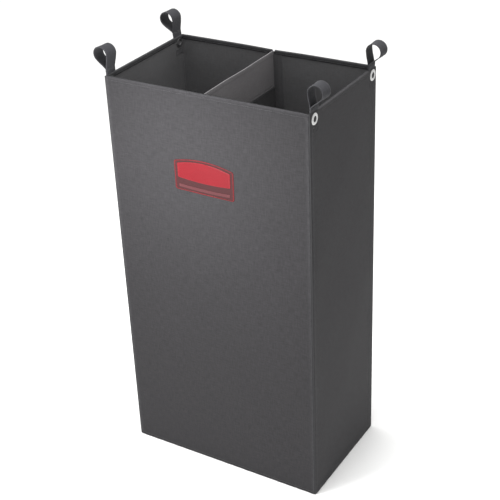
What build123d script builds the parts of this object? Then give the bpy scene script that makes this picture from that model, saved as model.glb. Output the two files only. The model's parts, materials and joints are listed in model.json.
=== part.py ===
from build123d import *

# Two-compartment hanging bag for a housekeeping cart.
#
# A tall, open-topped box of woven cloth.  Each wall is a sandwich: an outer cloth
# shell, a plastic stiffener board and a cloth lining.  A divider makes two
# compartments, each with a floor board that tips up against its side wall.
# Four webbing loops and four eyelets hang the bag on a cart.
#
# Millimetres.  +Z is up, -Y is the front, the origin is the centre of the underside.

import os

# Overall size
width = 444.0  # outside, along X
depth = 266.0  # outside, along Y
height = 850.0  # underside to rim, along Z

# Cloth, boards and webbing
shell_t = 1.0
strap_t = 1.6
core_t = 2 * strap_t  # the boards are as thick as the doubled webbing beside them
lining_t = 0.8
tape_t = 0.8
wall_t = shell_t + core_t + lining_t
inner_x = width / 2 - wall_t
inner_y = depth / 2 - wall_t
floor_z = shell_t + lining_t  # top of the floor lining

# Stiffener boards
board_end_gap = 1.0  # between a board's edge and the seam beside it
crease_gap = 6.0  # between the two half boards of the back

# Rim
rim_tape_h = 8.0
notch_w = 8.0  # the dip in the back rim where the divider is sewn in
notch_h = 5.0

# Divider
divider_cloth_t = 0.8
divider_board_t = 2.4
divider_t = divider_board_t + 2 * divider_cloth_t
divider_drop = 1.0  # its top edge lies this far below the rim
divider_band_h = 74.0  # the soft upper part, with no board in it
flange_w = 18.0  # seam tape each side of the divider's end

# Hanging loops
strap_w = 27.0
strap_edge_gap = 0.5  # between the webbing and the front or back lining
tail_len = 40.0  # sewn into the wall
hinge_lift = strap_t + 0.5  # the loop flexes this far above the rim
neck_h = 11.0  # from there to where its two legs part
loop_r = 15.0
loop_out = 8.5  # centre of the ring, measured from the flex line
loop_up = 38.5
loop_crotch_r = 0.2  # where the legs part
loop_lean = {"front_left": 2.5, "front_right": 2.5, "back_left": 9.0, "back_right": 3.0}
slot_gap = 0.3
strap_y = inner_y - strap_edge_gap - strap_w / 2

# Eyelets
eyelet_bore_r = 5.5
eyelet_barrel_r = 6.1
eyelet_flange_r = 11.0
eyelet_flange_t = 1.2
eyelet_edge_r = 0.9
eyelet_roll_r = 8.0
eyelet_roll_t = 0.8
eyelet_gap = 0.1
eyelet_rim_gap = 2.0  # between its flange and the rim
eyelet_edge_gap = 1.0  # between its flange and the front or back lining
washer_t = 0.6
eyelet_z = height - eyelet_rim_gap - eyelet_flange_r
eyelet_y = inner_y - eyelet_edge_gap - eyelet_flange_r

# Floor boards
base_board_t = 3.2
base_cloth_t = 0.8
base_t = base_board_t + 2 * base_cloth_t
base_side_gap = 2.0
base_hinge_gap = 0.6
base_lift = 0.3
base_corner_r = 3.0
hinge_tape_h = 24.0
hinge_tape_inset = 8.0
tab_w = 25.0
tab_len = 45.0
tab_overlap = 6.0  # from the tab's rounded end to the board's free edge

# Badge on the front
badge_w = 133.0
badge_h = 61.0  # at its ends
badge_rise = 9.5  # of its arched top
badge_t = 0.6
badge_r = 5.0
badge_x = -6.5  # its middle
badge_low = 645.5  # its lower edge
plate_w = 118.0
plate_h = 29.0
plate_rise = 9.0
plate_sag = 3.0  # of its bowed lower edge
plate_t = 0.4
plate_r = 2.5
plate_edge = 5.0  # from the badge's top edge to the plate

SIDES = {"front": (0, -1), "back": (0, 1), "left": (-1, 0), "right": (1, 0)}


def wall_plane(side, inset=0.0):
    """The plane of a wall layer, this far inside the outer face: x along the wall, y up, z outward."""
    out_x, out_y = SIDES[side]
    reach = (width if out_x else depth) / 2 - inset
    return Plane(origin=(out_x * reach, out_y * reach, 0), x_dir=(-out_y, out_x, 0), z_dir=(out_x, out_y, 0))


def save(piece, name):
    """Labels a finished piece and writes it to its own file."""
    piece.part.label = name
    export_step(piece.part, f"parts/{name}.step")


def upright(side, inset, thickness, ends, levels):
    """Adds a flat layer to the open part: `ends` are along the wall, `levels` are heights."""
    with BuildSketch(wall_plane(side, inset)) as layer:
        with Locations(((ends[0] + ends[1]) / 2, (levels[0] + levels[1]) / 2)):
            Rectangle(ends[1] - ends[0], levels[1] - levels[0])
    extrude(layer.sketch, amount=-thickness)


def cut_notch(side, inset, thickness):
    """Cuts the V of the back rim out of the open part."""
    with BuildSketch(wall_plane(side, inset)) as dip:
        with BuildLine():
            Polyline((-notch_w / 2, height), (0, height - notch_h), (notch_w / 2, height), close=True)
        make_face()
    extrude(dip.sketch, amount=-thickness, mode=Mode.SUBTRACT)


def cut_eyelet_holes(side, inset, thickness, radius):
    """Cuts a side wall layer around its two eyelets."""
    with BuildSketch(wall_plane(side, inset)) as holes:
        with Locations((-eyelet_y, eyelet_z), (eyelet_y, eyelet_z)):
            Circle(radius)
    extrude(holes.sketch, amount=-thickness, mode=Mode.SUBTRACT)


def make_long_shell(side):
    """The front or back cloth, folded over the top of its wall."""
    with BuildPart() as shell:
        upright(side, 0, shell_t, (-width / 2, width / 2), (0, height))
        lip = width / 2 - shell_t
        upright(side, shell_t, core_t + lining_t, (-lip, lip), (height - shell_t, height))
        if side == "back":
            cut_notch(side, 0, wall_t)
    save(shell, f"shell_{side}")


def make_side_shell(side):
    """A side cloth, with slots in its top fold for the webbing and holes for the eyelets."""
    half = depth / 2 - shell_t
    with BuildPart() as shell:
        upright(side, 0, shell_t, (-half, half), (0, height))
        upright(side, shell_t, core_t + lining_t, (-inner_y, inner_y), (height - shell_t, height))
        with BuildSketch(wall_plane(side, shell_t)):
            with Locations((-strap_y, height), (strap_y, height)):
                Rectangle(strap_w + 2 * slot_gap, 2 * shell_t)
        extrude(amount=-core_t, mode=Mode.SUBTRACT)
        cut_eyelet_holes(side, 0, shell_t, eyelet_barrel_r + eyelet_gap)
    save(shell, f"shell_{side}")


def make_bottom():
    """The bottom cloth and the lining that lies on it."""
    with BuildPart() as shell:
        with BuildSketch():
            Rectangle(width - 2 * shell_t, depth - 2 * shell_t)
        extrude(amount=shell_t)
    save(shell, "shell_bottom")
    with BuildPart() as lining:
        with BuildSketch(Plane.XY.offset(shell_t)):
            Rectangle(2 * inner_x, 2 * inner_y)
        extrude(amount=lining_t)
    save(lining, "lining_bottom")


def make_boards():
    """The stiffeners: one in the front, two in the back, and a notched one in each side."""
    low = shell_t + board_end_gap
    top = height - shell_t - board_end_gap
    with BuildPart() as front:
        upright("front", shell_t, core_t, (-inner_x, inner_x), (low, top))
    save(front, "board_front")
    for name, sign in (("left", 1), ("right", -1)):
        near, far = sign * crease_gap / 2, sign * inner_x
        with BuildPart() as half:
            upright("back", shell_t, core_t, (min(near, far), max(near, far)), (low, top))
        save(half, f"board_back_{name}")
    notch_x = strap_y - strap_w / 2 - board_end_gap
    notch_z = height - tail_len - board_end_gap
    for side in ("left", "right"):
        end = inner_y - board_end_gap
        with BuildPart() as board:
            upright(side, shell_t, core_t, (-end, end), (low, notch_z))
            upright(side, shell_t, core_t, (-notch_x, notch_x), (notch_z, top))
        save(board, f"board_{side}")


def make_corner_seams():
    """The folded seam that closes each upright corner, between the boards that meet there."""
    levels = (shell_t, height - shell_t)
    for row in ("front", "back"):
        for side in ("left", "right"):
            along = 1 if (row == "front") == (side == "left") else -1
            ends = sorted((along * (inner_y + lining_t), along * (depth / 2 - shell_t)))
            with BuildPart() as seam:
                upright(side, shell_t, core_t, ends, levels)
            save(seam, f"corner_seam_{row}_{side}")


def make_linings():
    """The inner cloth: front, two back halves that meet at the divider, and the sides."""
    levels = (shell_t, height - shell_t)
    inset = shell_t + core_t
    end = inner_x + lining_t
    with BuildPart() as front:
        upright("front", inset, lining_t, (-end, end), levels)
    save(front, "lining_front")
    for name, ends in (("left", (0, end)), ("right", (-end, 0))):
        with BuildPart() as half:
            upright("back", inset, lining_t, ends, levels)
            cut_notch("back", inset, lining_t)
        save(half, f"lining_back_{name}")
    for side in ("left", "right"):
        with BuildPart() as lining:
            upright(side, inset, lining_t, (-inner_y, inner_y), levels)
            cut_eyelet_holes(side, inset, lining_t, eyelet_barrel_r + eyelet_gap)
        save(lining, f"lining_{side}")


def make_rim_tapes():
    """The tape that finishes the inside of the rim, in two lengths on the back."""
    levels = (height - rim_tape_h, height)
    end = inner_x - tape_t
    spans = {
        "front": ("front", (-end, end)),
        "back_left": ("back", (notch_w / 2, end)),
        "back_right": ("back", (-end, -notch_w / 2)),
        "left": ("left", (-inner_y, inner_y)),
        "right": ("right", (-inner_y, inner_y)),
    }
    for name, (side, ends) in spans.items():
        with BuildPart() as tape:
            upright(side, wall_t, tape_t, ends, levels)
            if side in ("left", "right"):
                cut_eyelet_holes(side, wall_t, tape_t, eyelet_flange_r + slot_gap)
        save(tape, f"rim_tape_{name}")


def make_divider():
    """The divider: a cloth sleeve over a board, a soft band above it and a seam tape at each end."""
    half = inner_y - tape_t
    top = height - divider_drop
    board_top = top - divider_band_h - divider_cloth_t
    with BuildPart() as sleeve:
        with BuildSketch(Plane.XY.offset(floor_z)):
            Rectangle(divider_t, 2 * half)
        extrude(amount=board_top + divider_cloth_t - floor_z)
        with BuildSketch(Plane.XY.offset(floor_z)):
            Rectangle(divider_board_t, 2 * (half - divider_cloth_t))
        extrude(amount=board_top - floor_z, mode=Mode.SUBTRACT)
    save(sleeve, "divider_sleeve")
    with BuildPart() as board:
        with BuildSketch(Plane.XY.offset(floor_z)):
            Rectangle(divider_board_t, 2 * (half - divider_cloth_t - board_end_gap))
        extrude(amount=board_top - floor_z)
    save(board, "divider_board")
    with BuildPart() as band:
        with BuildSketch(Plane.XY.offset(top - divider_band_h)):
            Rectangle(2 * divider_cloth_t, 2 * half)
        extrude(amount=divider_band_h)
    save(band, "divider_band")
    for side in ("front", "back"):
        with BuildPart() as flange:
            levels = (floor_z, height - rim_tape_h)
            upright(side, wall_t, tape_t, (-divider_t / 2 - flange_w, divider_t / 2 + flange_w), levels)
        save(flange, f"divider_flange_{side}")


def loop_corner(corner):
    """The wall that a loop and its eyelet are on, and which way along it they lie: 1 or -1."""
    row, side = corner.split("_")
    return side, 1 if (row == "front") == (side == "left") else -1


def teardrop(ring_r, neck_r):
    """A loop's outline: its ring, and two straight legs that close in on the top of its neck."""
    with BuildSketch() as drop:
        with Locations((loop_out, loop_up)):
            Circle(ring_r)
        with Locations((0, neck_h)):
            Circle(neck_r)
        make_hull()
    return drop.sketch


def make_loop(corner):
    """The free part of a hanging loop: a teardrop of webbing that leans out of the bag."""
    side, way = loop_corner(corner)
    pivot = wall_plane(side, shell_t + strap_t).from_local_coords((way * strap_y, height + hinge_lift, 0))
    out_x = SIDES[side][0]
    flex = Plane(origin=pivot, x_dir=(out_x, 0, 0), z_dir=(0, -out_x, 0))
    leaned = Plane(flex.location * Rotation(0, 0, -loop_lean[corner]))
    outside = teardrop(loop_r + strap_t / 2, strap_t)
    eye = teardrop(loop_r - strap_t / 2, loop_crotch_r)
    with BuildPart() as loop:
        with BuildSketch(leaned):
            add(outside)
            with Locations((0, neck_h / 2)):
                Rectangle(2 * strap_t, neck_h)
            Circle(strap_t)
            add(eye, mode=Mode.SUBTRACT)
        extrude(amount=strap_w / 2, both=True)
    save(loop, f"loop_{corner}")


def make_tail(corner):
    """The doubled end of a loop, sewn between shell and lining and held by the eyelet."""
    side, way = loop_corner(corner)
    ends = (way * strap_y - strap_w / 2, way * strap_y + strap_w / 2)
    levels = (height - tail_len, height + slot_gap / 3)
    with BuildPart() as tail:
        upright(side, shell_t, core_t, ends, levels)
        with BuildSketch(wall_plane(side, shell_t)):
            with Locations((way * eyelet_y, eyelet_z)):
                Circle(eyelet_barrel_r + eyelet_gap)
        extrude(amount=-core_t, mode=Mode.SUBTRACT)
    save(tail, f"loop_tail_{corner}")


def make_eyelet(corner):
    """An eyelet through the wall and the washer that it is rolled over."""
    side, way = loop_corner(corner)
    centre = Locations((way * eyelet_y, eyelet_z))
    back_inset = wall_t + washer_t
    with BuildPart() as eyelet:
        with BuildSketch(wall_plane(side)):
            with centre:
                Circle(eyelet_flange_r)
        extrude(amount=eyelet_flange_t)
        out_x = SIDES[side][0]
        face = eyelet.faces().sort_by(Axis.X)[-1 if out_x > 0 else 0]
        fillet(face.edges(), eyelet_edge_r)
        with BuildSketch(wall_plane(side)):
            with centre:
                Circle(eyelet_barrel_r)
        extrude(amount=-back_inset)
        with BuildSketch(wall_plane(side, back_inset)):
            with centre:
                Circle(eyelet_roll_r)
        extrude(amount=-eyelet_roll_t)
        with BuildSketch(wall_plane(side, -eyelet_flange_t)):
            with centre:
                Circle(eyelet_bore_r)
        extrude(amount=-(eyelet_flange_t + back_inset + eyelet_roll_t), mode=Mode.SUBTRACT)
    save(eyelet, f"eyelet_{corner}")
    with BuildPart() as washer:
        with BuildSketch(wall_plane(side, wall_t)):
            with centre:
                Circle(eyelet_flange_r)
                Circle(eyelet_barrel_r + eyelet_gap, mode=Mode.SUBTRACT)
        extrude(amount=-washer_t)
    save(washer, f"eyelet_washer_{corner}")


def make_base(side):
    """A floor board in its cloth cover, with its pull tab and the tape that hinges it to the wall."""
    out_x = SIDES[side][0]
    edge = inner_x - tape_t - base_hinge_gap  # the hinged edge
    free = divider_t / 2 + base_side_gap  # the edge beside the divider
    low = floor_z + base_lift
    length = edge - free
    breadth = 2 * (inner_y - base_side_gap)
    middle = out_x * (edge + free) / 2
    with BuildPart() as cover:
        with BuildSketch(Plane.XY.offset(low)):
            with Locations((middle, 0)):
                Rectangle(length, breadth)
        extrude(amount=base_t)
        fillet(cover.edges().filter_by(Axis.Z), base_corner_r)
        with BuildSketch(Plane.XY.offset(low + base_cloth_t)):
            with Locations((middle + out_x * base_cloth_t, 0)):
                Rectangle(length, breadth - 2 * base_cloth_t)
        extrude(amount=base_board_t, mode=Mode.SUBTRACT)
    save(cover, f"base_cover_{side}")
    with BuildPart() as board:
        with BuildSketch(Plane.XY.offset(low + base_cloth_t)):
            with Locations((middle, 0)):
                Rectangle(length - 2 * base_corner_r, breadth - 2 * base_corner_r)
        extrude(amount=base_board_t)
    save(board, f"base_board_{side}")
    with BuildPart() as tab:
        with BuildSketch(Plane.XY.offset(low + base_t)):
            with Locations((out_x * (free + tab_overlap + tab_len / 2), 0)):
                RectangleRounded(tab_len, tab_w, tab_w / 3)
        extrude(amount=strap_t)
    save(tab, f"base_tab_{side}")
    with BuildPart() as hinge:
        end = inner_y - hinge_tape_inset
        upright(side, wall_t, tape_t, (-end, end), (low, low + hinge_tape_h))
    save(hinge, f"base_hinge_tape_{side}")


def arched(ends, levels, sag, rise, corner_r):
    """A sheet outline with upright ends, a lower edge that bows down and an upper edge that arches."""
    middle = (ends[0] + ends[1]) / 2
    with BuildSketch() as outline:
        with BuildLine():
            if sag:
                ThreePointArc((ends[0], levels[0]), (middle, levels[0] - sag), (ends[1], levels[0]))
            else:
                Line((ends[0], levels[0]), (ends[1], levels[0]))
            Line((ends[1], levels[0]), (ends[1], levels[1]))
            ThreePointArc((ends[1], levels[1]), (middle, levels[1] + rise), (ends[0], levels[1]))
            Line((ends[0], levels[1]), (ends[0], levels[0]))
        make_face()
        fillet(outline.vertices(), corner_r)
    return outline.sketch


def make_badge():
    """The plain badge on the front and the raised plate in its upper half."""
    patch_top = badge_low + badge_h
    plate_top = patch_top - plate_edge
    pieces = {
        "badge_patch": (badge_w, (badge_low, patch_top), 0, badge_rise, badge_r, 0, badge_t),
        "badge_plate": (plate_w, (plate_top - plate_h, plate_top), plate_sag, plate_rise, plate_r, badge_t, plate_t),
    }
    for name, (span, levels, sag, rise, corner_r, proud, thickness) in pieces.items():
        shape = arched((badge_x - span / 2, badge_x + span / 2), levels, sag, rise, corner_r)
        with BuildPart() as piece:
            with BuildSketch(wall_plane("front", -proud)):
                add(shape)
            extrude(amount=thickness)
        save(piece, name)


os.makedirs("parts", exist_ok=True)
for long_side in ("front", "back"):
    make_long_shell(long_side)
for short_side in ("left", "right"):
    make_side_shell(short_side)
    make_base(short_side)
make_bottom()
make_boards()
make_corner_seams()
make_linings()
make_rim_tapes()
make_divider()
for bag_corner in loop_lean:
    make_loop(bag_corner)
    make_tail(bag_corner)
    make_eyelet(bag_corner)
make_badge()
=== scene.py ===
"""Looks for a two-compartment hanging bag of a housekeeping cart.

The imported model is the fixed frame.  Every cloth piece is built here over the solid that it
stands for, in metres, in the same frame: +Z is up and -Y is the front.
"""

import json
import logging
import math
from abc import ABC, abstractmethod
from dataclasses import dataclass, field
from enum import Enum
from typing import Callable, Iterable, Mapping, Sequence

import bpy
import numpy as np
from mathutils import Matrix, Vector


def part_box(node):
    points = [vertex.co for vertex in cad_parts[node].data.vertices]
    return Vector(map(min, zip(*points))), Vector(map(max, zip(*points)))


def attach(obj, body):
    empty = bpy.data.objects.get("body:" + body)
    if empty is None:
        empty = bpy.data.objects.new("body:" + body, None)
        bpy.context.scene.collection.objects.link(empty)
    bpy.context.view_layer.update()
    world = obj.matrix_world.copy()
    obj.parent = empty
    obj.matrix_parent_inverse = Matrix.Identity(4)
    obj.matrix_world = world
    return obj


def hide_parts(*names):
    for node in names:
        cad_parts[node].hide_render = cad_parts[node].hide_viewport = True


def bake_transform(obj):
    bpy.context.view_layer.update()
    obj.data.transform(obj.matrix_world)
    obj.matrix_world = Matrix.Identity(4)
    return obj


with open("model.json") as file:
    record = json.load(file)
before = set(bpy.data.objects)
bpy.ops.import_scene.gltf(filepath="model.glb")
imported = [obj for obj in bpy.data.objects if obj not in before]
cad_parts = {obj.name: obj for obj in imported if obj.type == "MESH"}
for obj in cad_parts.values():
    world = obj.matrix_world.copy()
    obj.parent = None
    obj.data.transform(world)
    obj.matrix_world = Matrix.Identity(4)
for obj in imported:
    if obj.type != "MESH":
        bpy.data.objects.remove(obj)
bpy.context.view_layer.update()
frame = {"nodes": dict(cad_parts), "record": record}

MM = 0.001
LOG = logging.getLogger("cart_bag")

Points = np.ndarray
Colour = tuple[float, float, float]


class Wall(Enum):
    """A wall of the bag: its outward direction, and a phase that makes its cloth its own."""

    FRONT = (0.0, -1.0, 0.4)
    BACK = (0.0, 1.0, 2.1)
    LEFT = (-1.0, 0.0, 3.7)
    RIGHT = (1.0, 0.0, 5.2)

    @property
    def out(self) -> np.ndarray:
        """Outward direction."""
        return np.array([self.value[0], self.value[1], 0.0])

    @property
    def runs_in_x(self) -> bool:
        """Whether the wall runs along X."""
        return self.value[0] == 0.0

    @property
    def phase(self) -> float:
        """Phase of the wall's own ripples, in radians."""
        return self.value[2]


class Side(Enum):
    """Left or right half of the bag."""

    LEFT = -1
    RIGHT = 1

    @property
    def word(self) -> str:
        """The side's name in the names of pieces."""
        return self.name.lower()

    @property
    def wall(self) -> Wall:
        """The end wall on this side."""
        return Wall.LEFT if self is Side.LEFT else Wall.RIGHT


class Row(Enum):
    """Front or back of the bag."""

    FRONT = -1
    BACK = 1

    @property
    def word(self) -> str:
        """The row's name in the names of pieces."""
        return self.name.lower()

    @property
    def wall(self) -> Wall:
        """The long wall on this side."""
        return Wall.FRONT if self is Row.FRONT else Wall.BACK


# A column of the bag's outline: its wall, its place along it, and its turn round a corner.
Column = tuple[Wall, float, float]


class Weave(Enum):
    """How a cloth is woven: how many yarns each direction passes over."""

    PLAIN = (1.0, 1.0)
    BASKET = (2.0, 2.0)
    RIB = (1.0, 3.0)


# ---------------------------------------------------------------------------------------------
# Shader node groups
# ---------------------------------------------------------------------------------------------


class Graph:
    """A node tree with short calls for adding and joining nodes."""

    def __init__(self, tree: bpy.types.NodeTree) -> None:
        """Wraps `tree`.

        Args:
            tree: the tree that nodes are added to.
        """
        self.tree = tree
        self.count = 0

    def node(self, kind: str, settings: dict | None = None, **inputs: object) -> bpy.types.Node:
        """Adds a node.

        Args:
            kind: the node's type name.
            settings: the node's own properties.
            inputs: socket name, with _ for a space, to a value or an output socket.

        Returns:
            The new node.
        """
        made = self.tree.nodes.new(kind)
        made.location = (self.count % 8 * 200, -(self.count // 8) * 220)
        self.count += 1
        for name, value in (settings or {}).items():
            setattr(made, name, value)
        for name, value in inputs.items():
            self.join(value, made.inputs[name.replace("_", " ")])
        return made

    def join(self, value: object, socket: bpy.types.NodeSocket) -> None:
        """Links or sets one input socket.

        Args:
            value: an output socket, a number or a colour.
            socket: the input.
        """
        if isinstance(value, bpy.types.NodeSocket):
            self.tree.links.new(value, socket)
        else:
            socket.default_value = value

    def math(self, operation: str, *values: object, clamp: bool = False) -> bpy.types.NodeSocket:
        """Adds a maths node.

        Args:
            operation: its operation.
            values: its inputs in order.
            clamp: whether the result stays from 0 to 1.

        Returns:
            Its result.
        """
        made = self.node("ShaderNodeMath", {"operation": operation, "use_clamp": clamp})
        for socket, value in zip(made.inputs, values):
            self.join(value, socket)
        return made.outputs[0]

    def group(self, tree: bpy.types.NodeTree, **inputs: object) -> Mapping[str, bpy.types.NodeSocket]:
        """Adds a node group.

        Args:
            tree: the group.
            inputs: socket name to a value or an output socket.

        Returns:
            The group's outputs.
        """
        return self.node("ShaderNodeGroup", {"node_tree": tree}, **inputs).outputs

    def emboss(self, shader: bpy.types.Node, height: object, strength: float, distance: float) -> None:
        """Adds bump to a shader.

        Args:
            shader: the shader.
            height: the socket that gives the height.
            strength: how strongly it shows.
            distance: the height's full depth.
        """
        bump = self.node("ShaderNodeBump", Height=height, Strength=strength, Distance=distance)
        self.join(bump.outputs["Normal"], shader.inputs["Normal"])

    def mix_colour(self, amount: object, low: object, high: object, blend: str = "MIX") -> bpy.types.NodeSocket:
        """Adds a colour mix.

        Args:
            amount: how much of `high`.
            low: colour at 0.
            high: colour at 1.
            blend: blend type.

        Returns:
            The mixed colour.
        """
        made = self.node("ShaderNodeMix", {"data_type": "RGBA", "blend_type": blend})
        for socket, value in zip((made.inputs[0], made.inputs[6], made.inputs[7]), (amount, low, high)):
            self.join(value, socket)
        return made.outputs[2]

    def ramp(self, value: object, low: float, high: float, to_low: float, to_high: float) -> bpy.types.NodeSocket:
        """Adds a clamped linear map.

        Args:
            value: what is mapped.
            low: its value at the start.
            high: its value at the end.
            to_low: result at the start.
            to_high: result at the end.

        Returns:
            The mapped value.
        """
        made = self.node("ShaderNodeMapRange")
        for socket, number in zip(made.inputs, (value, low, high, to_low, to_high)):
            self.join(number, socket)
        return made.outputs[0]


class Effects:
    """The node groups that several materials share, each built on first use."""

    made: dict[str, bpy.types.NodeTree] = {}

    @classmethod
    def start(
        cls, name: str, inputs: dict[str, tuple[str, object]], outputs: dict[str, str]
    ) -> tuple[Graph, object, object]:
        """Makes an empty group with its sockets.

        Args:
            name: the group's name.
            inputs: socket name to its type and default.
            outputs: socket name to its type.

        Returns:
            The graph, the group's inputs and the group's outputs.
        """
        tree = bpy.data.node_groups.new(name, "ShaderNodeTree")
        for label, (kind, default) in inputs.items():
            socket = tree.interface.new_socket(label, in_out="INPUT", socket_type=f"NodeSocket{kind}")
            if default is not None:
                socket.default_value = default
        for label, kind in outputs.items():
            tree.interface.new_socket(label, in_out="OUTPUT", socket_type=f"NodeSocket{kind}")
        graph = Graph(tree)
        source = graph.node("NodeGroupInput").outputs
        target = graph.node("NodeGroupOutput").inputs
        cls.made[name] = tree
        return graph, source, target

    @classmethod
    def weave(cls) -> bpy.types.NodeTree:
        """Crossing yarns over a UV map in metres.

        Returns:
            A group that puts out the height and the shade of the yarns.
        """
        if "Woven yarns" in cls.made:
            return cls.made["Woven yarns"]
        graph, source, target = cls.start(
            "Woven yarns",
            {"Vector": ("Vector", None), "Pitch": ("Float", 0.001), "Over": ("Float", 1.0), "Under": ("Float", 1.0),
             "Slub": ("Float", 0.1)},
            {"Height": "Float", "Shade": "Float"},
        )
        parts = graph.node("ShaderNodeSeparateXYZ", Vector=source["Vector"]).outputs
        waves = []
        for axis, floats in ((0, source["Over"]), (1, source["Under"])):
            turns = graph.math("DIVIDE", graph.math("MULTIPLY", parts[axis], math.pi), source["Pitch"])
            yarn = graph.math("ABSOLUTE", graph.math("SINE", turns))
            cross = graph.math("SINE", graph.math("DIVIDE", turns, floats))
            waves.append((yarn, cross))
        (warp, warp_cross), (weft, weft_cross) = waves
        over = graph.ramp(graph.math("MULTIPLY", warp_cross, weft_cross), -0.12, 0.12, 0.0, 1.0)
        low = graph.math("MULTIPLY", graph.math("POWER", weft, 0.6), graph.math("SUBTRACT", 1.0, over))
        high = graph.math("MULTIPLY", graph.math("POWER", warp, 0.6), over)
        height = graph.math("ADD", low, high)
        # Painted shade: each yarn is darker where it dips under the crossing yarn.
        shade = graph.ramp(height, 0.0, 1.0, 0.55, 1.08)
        for stretch in ((60.0, 430.0, 1.0), (430.0, 60.0, 1.0)):
            drawn = graph.node("ShaderNodeVectorMath", {"operation": "MULTIPLY"})
            graph.join(source["Vector"], drawn.inputs[0])
            drawn.inputs[1].default_value = stretch
            slub = graph.node("ShaderNodeTexNoise", Vector=drawn.outputs[0], Scale=1.0, Detail=3.0, Roughness=0.6)
            thick = graph.ramp(slub.outputs["Fac"], 0.3, 0.7, -0.5, 0.5)
            shade = graph.math("ADD", shade, graph.math("MULTIPLY", thick, source["Slub"]))
        graph.join(height, target["Height"])
        graph.join(shade, target["Shade"])
        return cls.made["Woven yarns"]

    @classmethod
    def mottle(cls) -> bpy.types.NodeTree:
        """Cloudy, uneven tone, as dye, handling and dust leave on cloth and mouldings.

        Returns:
            A group that puts out a tone factor near 1, a mask and a fine grain.
        """
        if "Cloudy tone" in cls.made:
            return cls.made["Cloudy tone"]
        graph, source, target = cls.start(
            "Cloudy tone",
            {"Vector": ("Vector", None), "Scale": ("Float", 8.0), "Amount": ("Float", 0.06), "Grain": ("Float", 0.04)},
            {"Tone": "Float", "Mask": "Float"},
        )
        broad = graph.node("ShaderNodeTexNoise", Vector=source["Vector"], Scale=source["Scale"], Detail=3.0,
                           Roughness=0.55)
        fine_scale = graph.math("MULTIPLY", source["Scale"], 45.0)
        fine = graph.node("ShaderNodeTexNoise", Vector=source["Vector"], Scale=fine_scale, Detail=2.0)
        mask = graph.ramp(broad.outputs["Fac"], 0.3, 0.7, 0.0, 1.0)
        swing = graph.math("MULTIPLY", graph.math("SUBTRACT", mask, 0.5), source["Amount"])
        speck = graph.math("MULTIPLY", graph.math("SUBTRACT", fine.outputs["Fac"], 0.5), source["Grain"])
        graph.join(graph.math("ADD", graph.math("ADD", swing, speck), 1.0), target["Tone"])
        graph.join(mask, target["Mask"])
        return cls.made["Cloudy tone"]

    @classmethod
    def rubbed(cls) -> bpy.types.NodeTree:
        """Paler, smoother cloth or metal at edges: wear from handling, and a painted highlight where edges catch the
        light.

        Returns:
            A group that puts out a mask from a piece's wear-and-highlight attribute, broken up by noise.
        """
        if "Rubbed edges" in cls.made:
            return cls.made["Rubbed edges"]
        graph, source, target = cls.start(
            "Rubbed edges",
            {"Vector": ("Vector", None), "Rub": ("Float", 0.0), "Strength": ("Float", 0.3)},
            {"Mask": "Float"},
        )
        noise = graph.node("ShaderNodeTexNoise", Vector=source["Vector"], Scale=160.0, Detail=4.0)
        broken = graph.ramp(noise.outputs["Fac"], 0.35, 0.65, 0.35, 1.0)
        masked = graph.math("MULTIPLY", graph.math("MULTIPLY", source["Rub"], broken), source["Strength"], clamp=True)
        graph.join(masked, target["Mask"])
        return cls.made["Rubbed edges"]


# ---------------------------------------------------------------------------------------------
# Finishes
# ---------------------------------------------------------------------------------------------


@dataclass(frozen=True)
class Finish(ABC):
    """What a surface is made of.  Each finish makes one material and hands it out again."""

    name: str
    slot: str
    colour: Colour

    def material(self) -> bpy.types.Material:
        """The finish's material, built on first use.

        Returns:
            The material.
        """
        made = bpy.data.materials.get(self.name)
        if made is None:
            made = bpy.data.materials.new(self.name)
            made.use_nodes = True
            made.node_tree.nodes.clear()
            graph = Graph(made.node_tree)
            shader = graph.node("ShaderNodeBsdfPrincipled")
            graph.node("ShaderNodeOutputMaterial", Surface=shader.outputs["BSDF"])
            self.dress(graph, shader)
            made.diffuse_color = (*self.colour, 1.0)
        return made

    @abstractmethod
    def dress(self, graph: Graph, shader: bpy.types.Node) -> None:
        """Adds the finish's nodes.

        Args:
            graph: the material's graph.
            shader: its Principled shader.
        """

    def rgba(self) -> tuple[float, float, float, float]:
        """The colour with full alpha."""
        return (*self.colour, 1.0)


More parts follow.
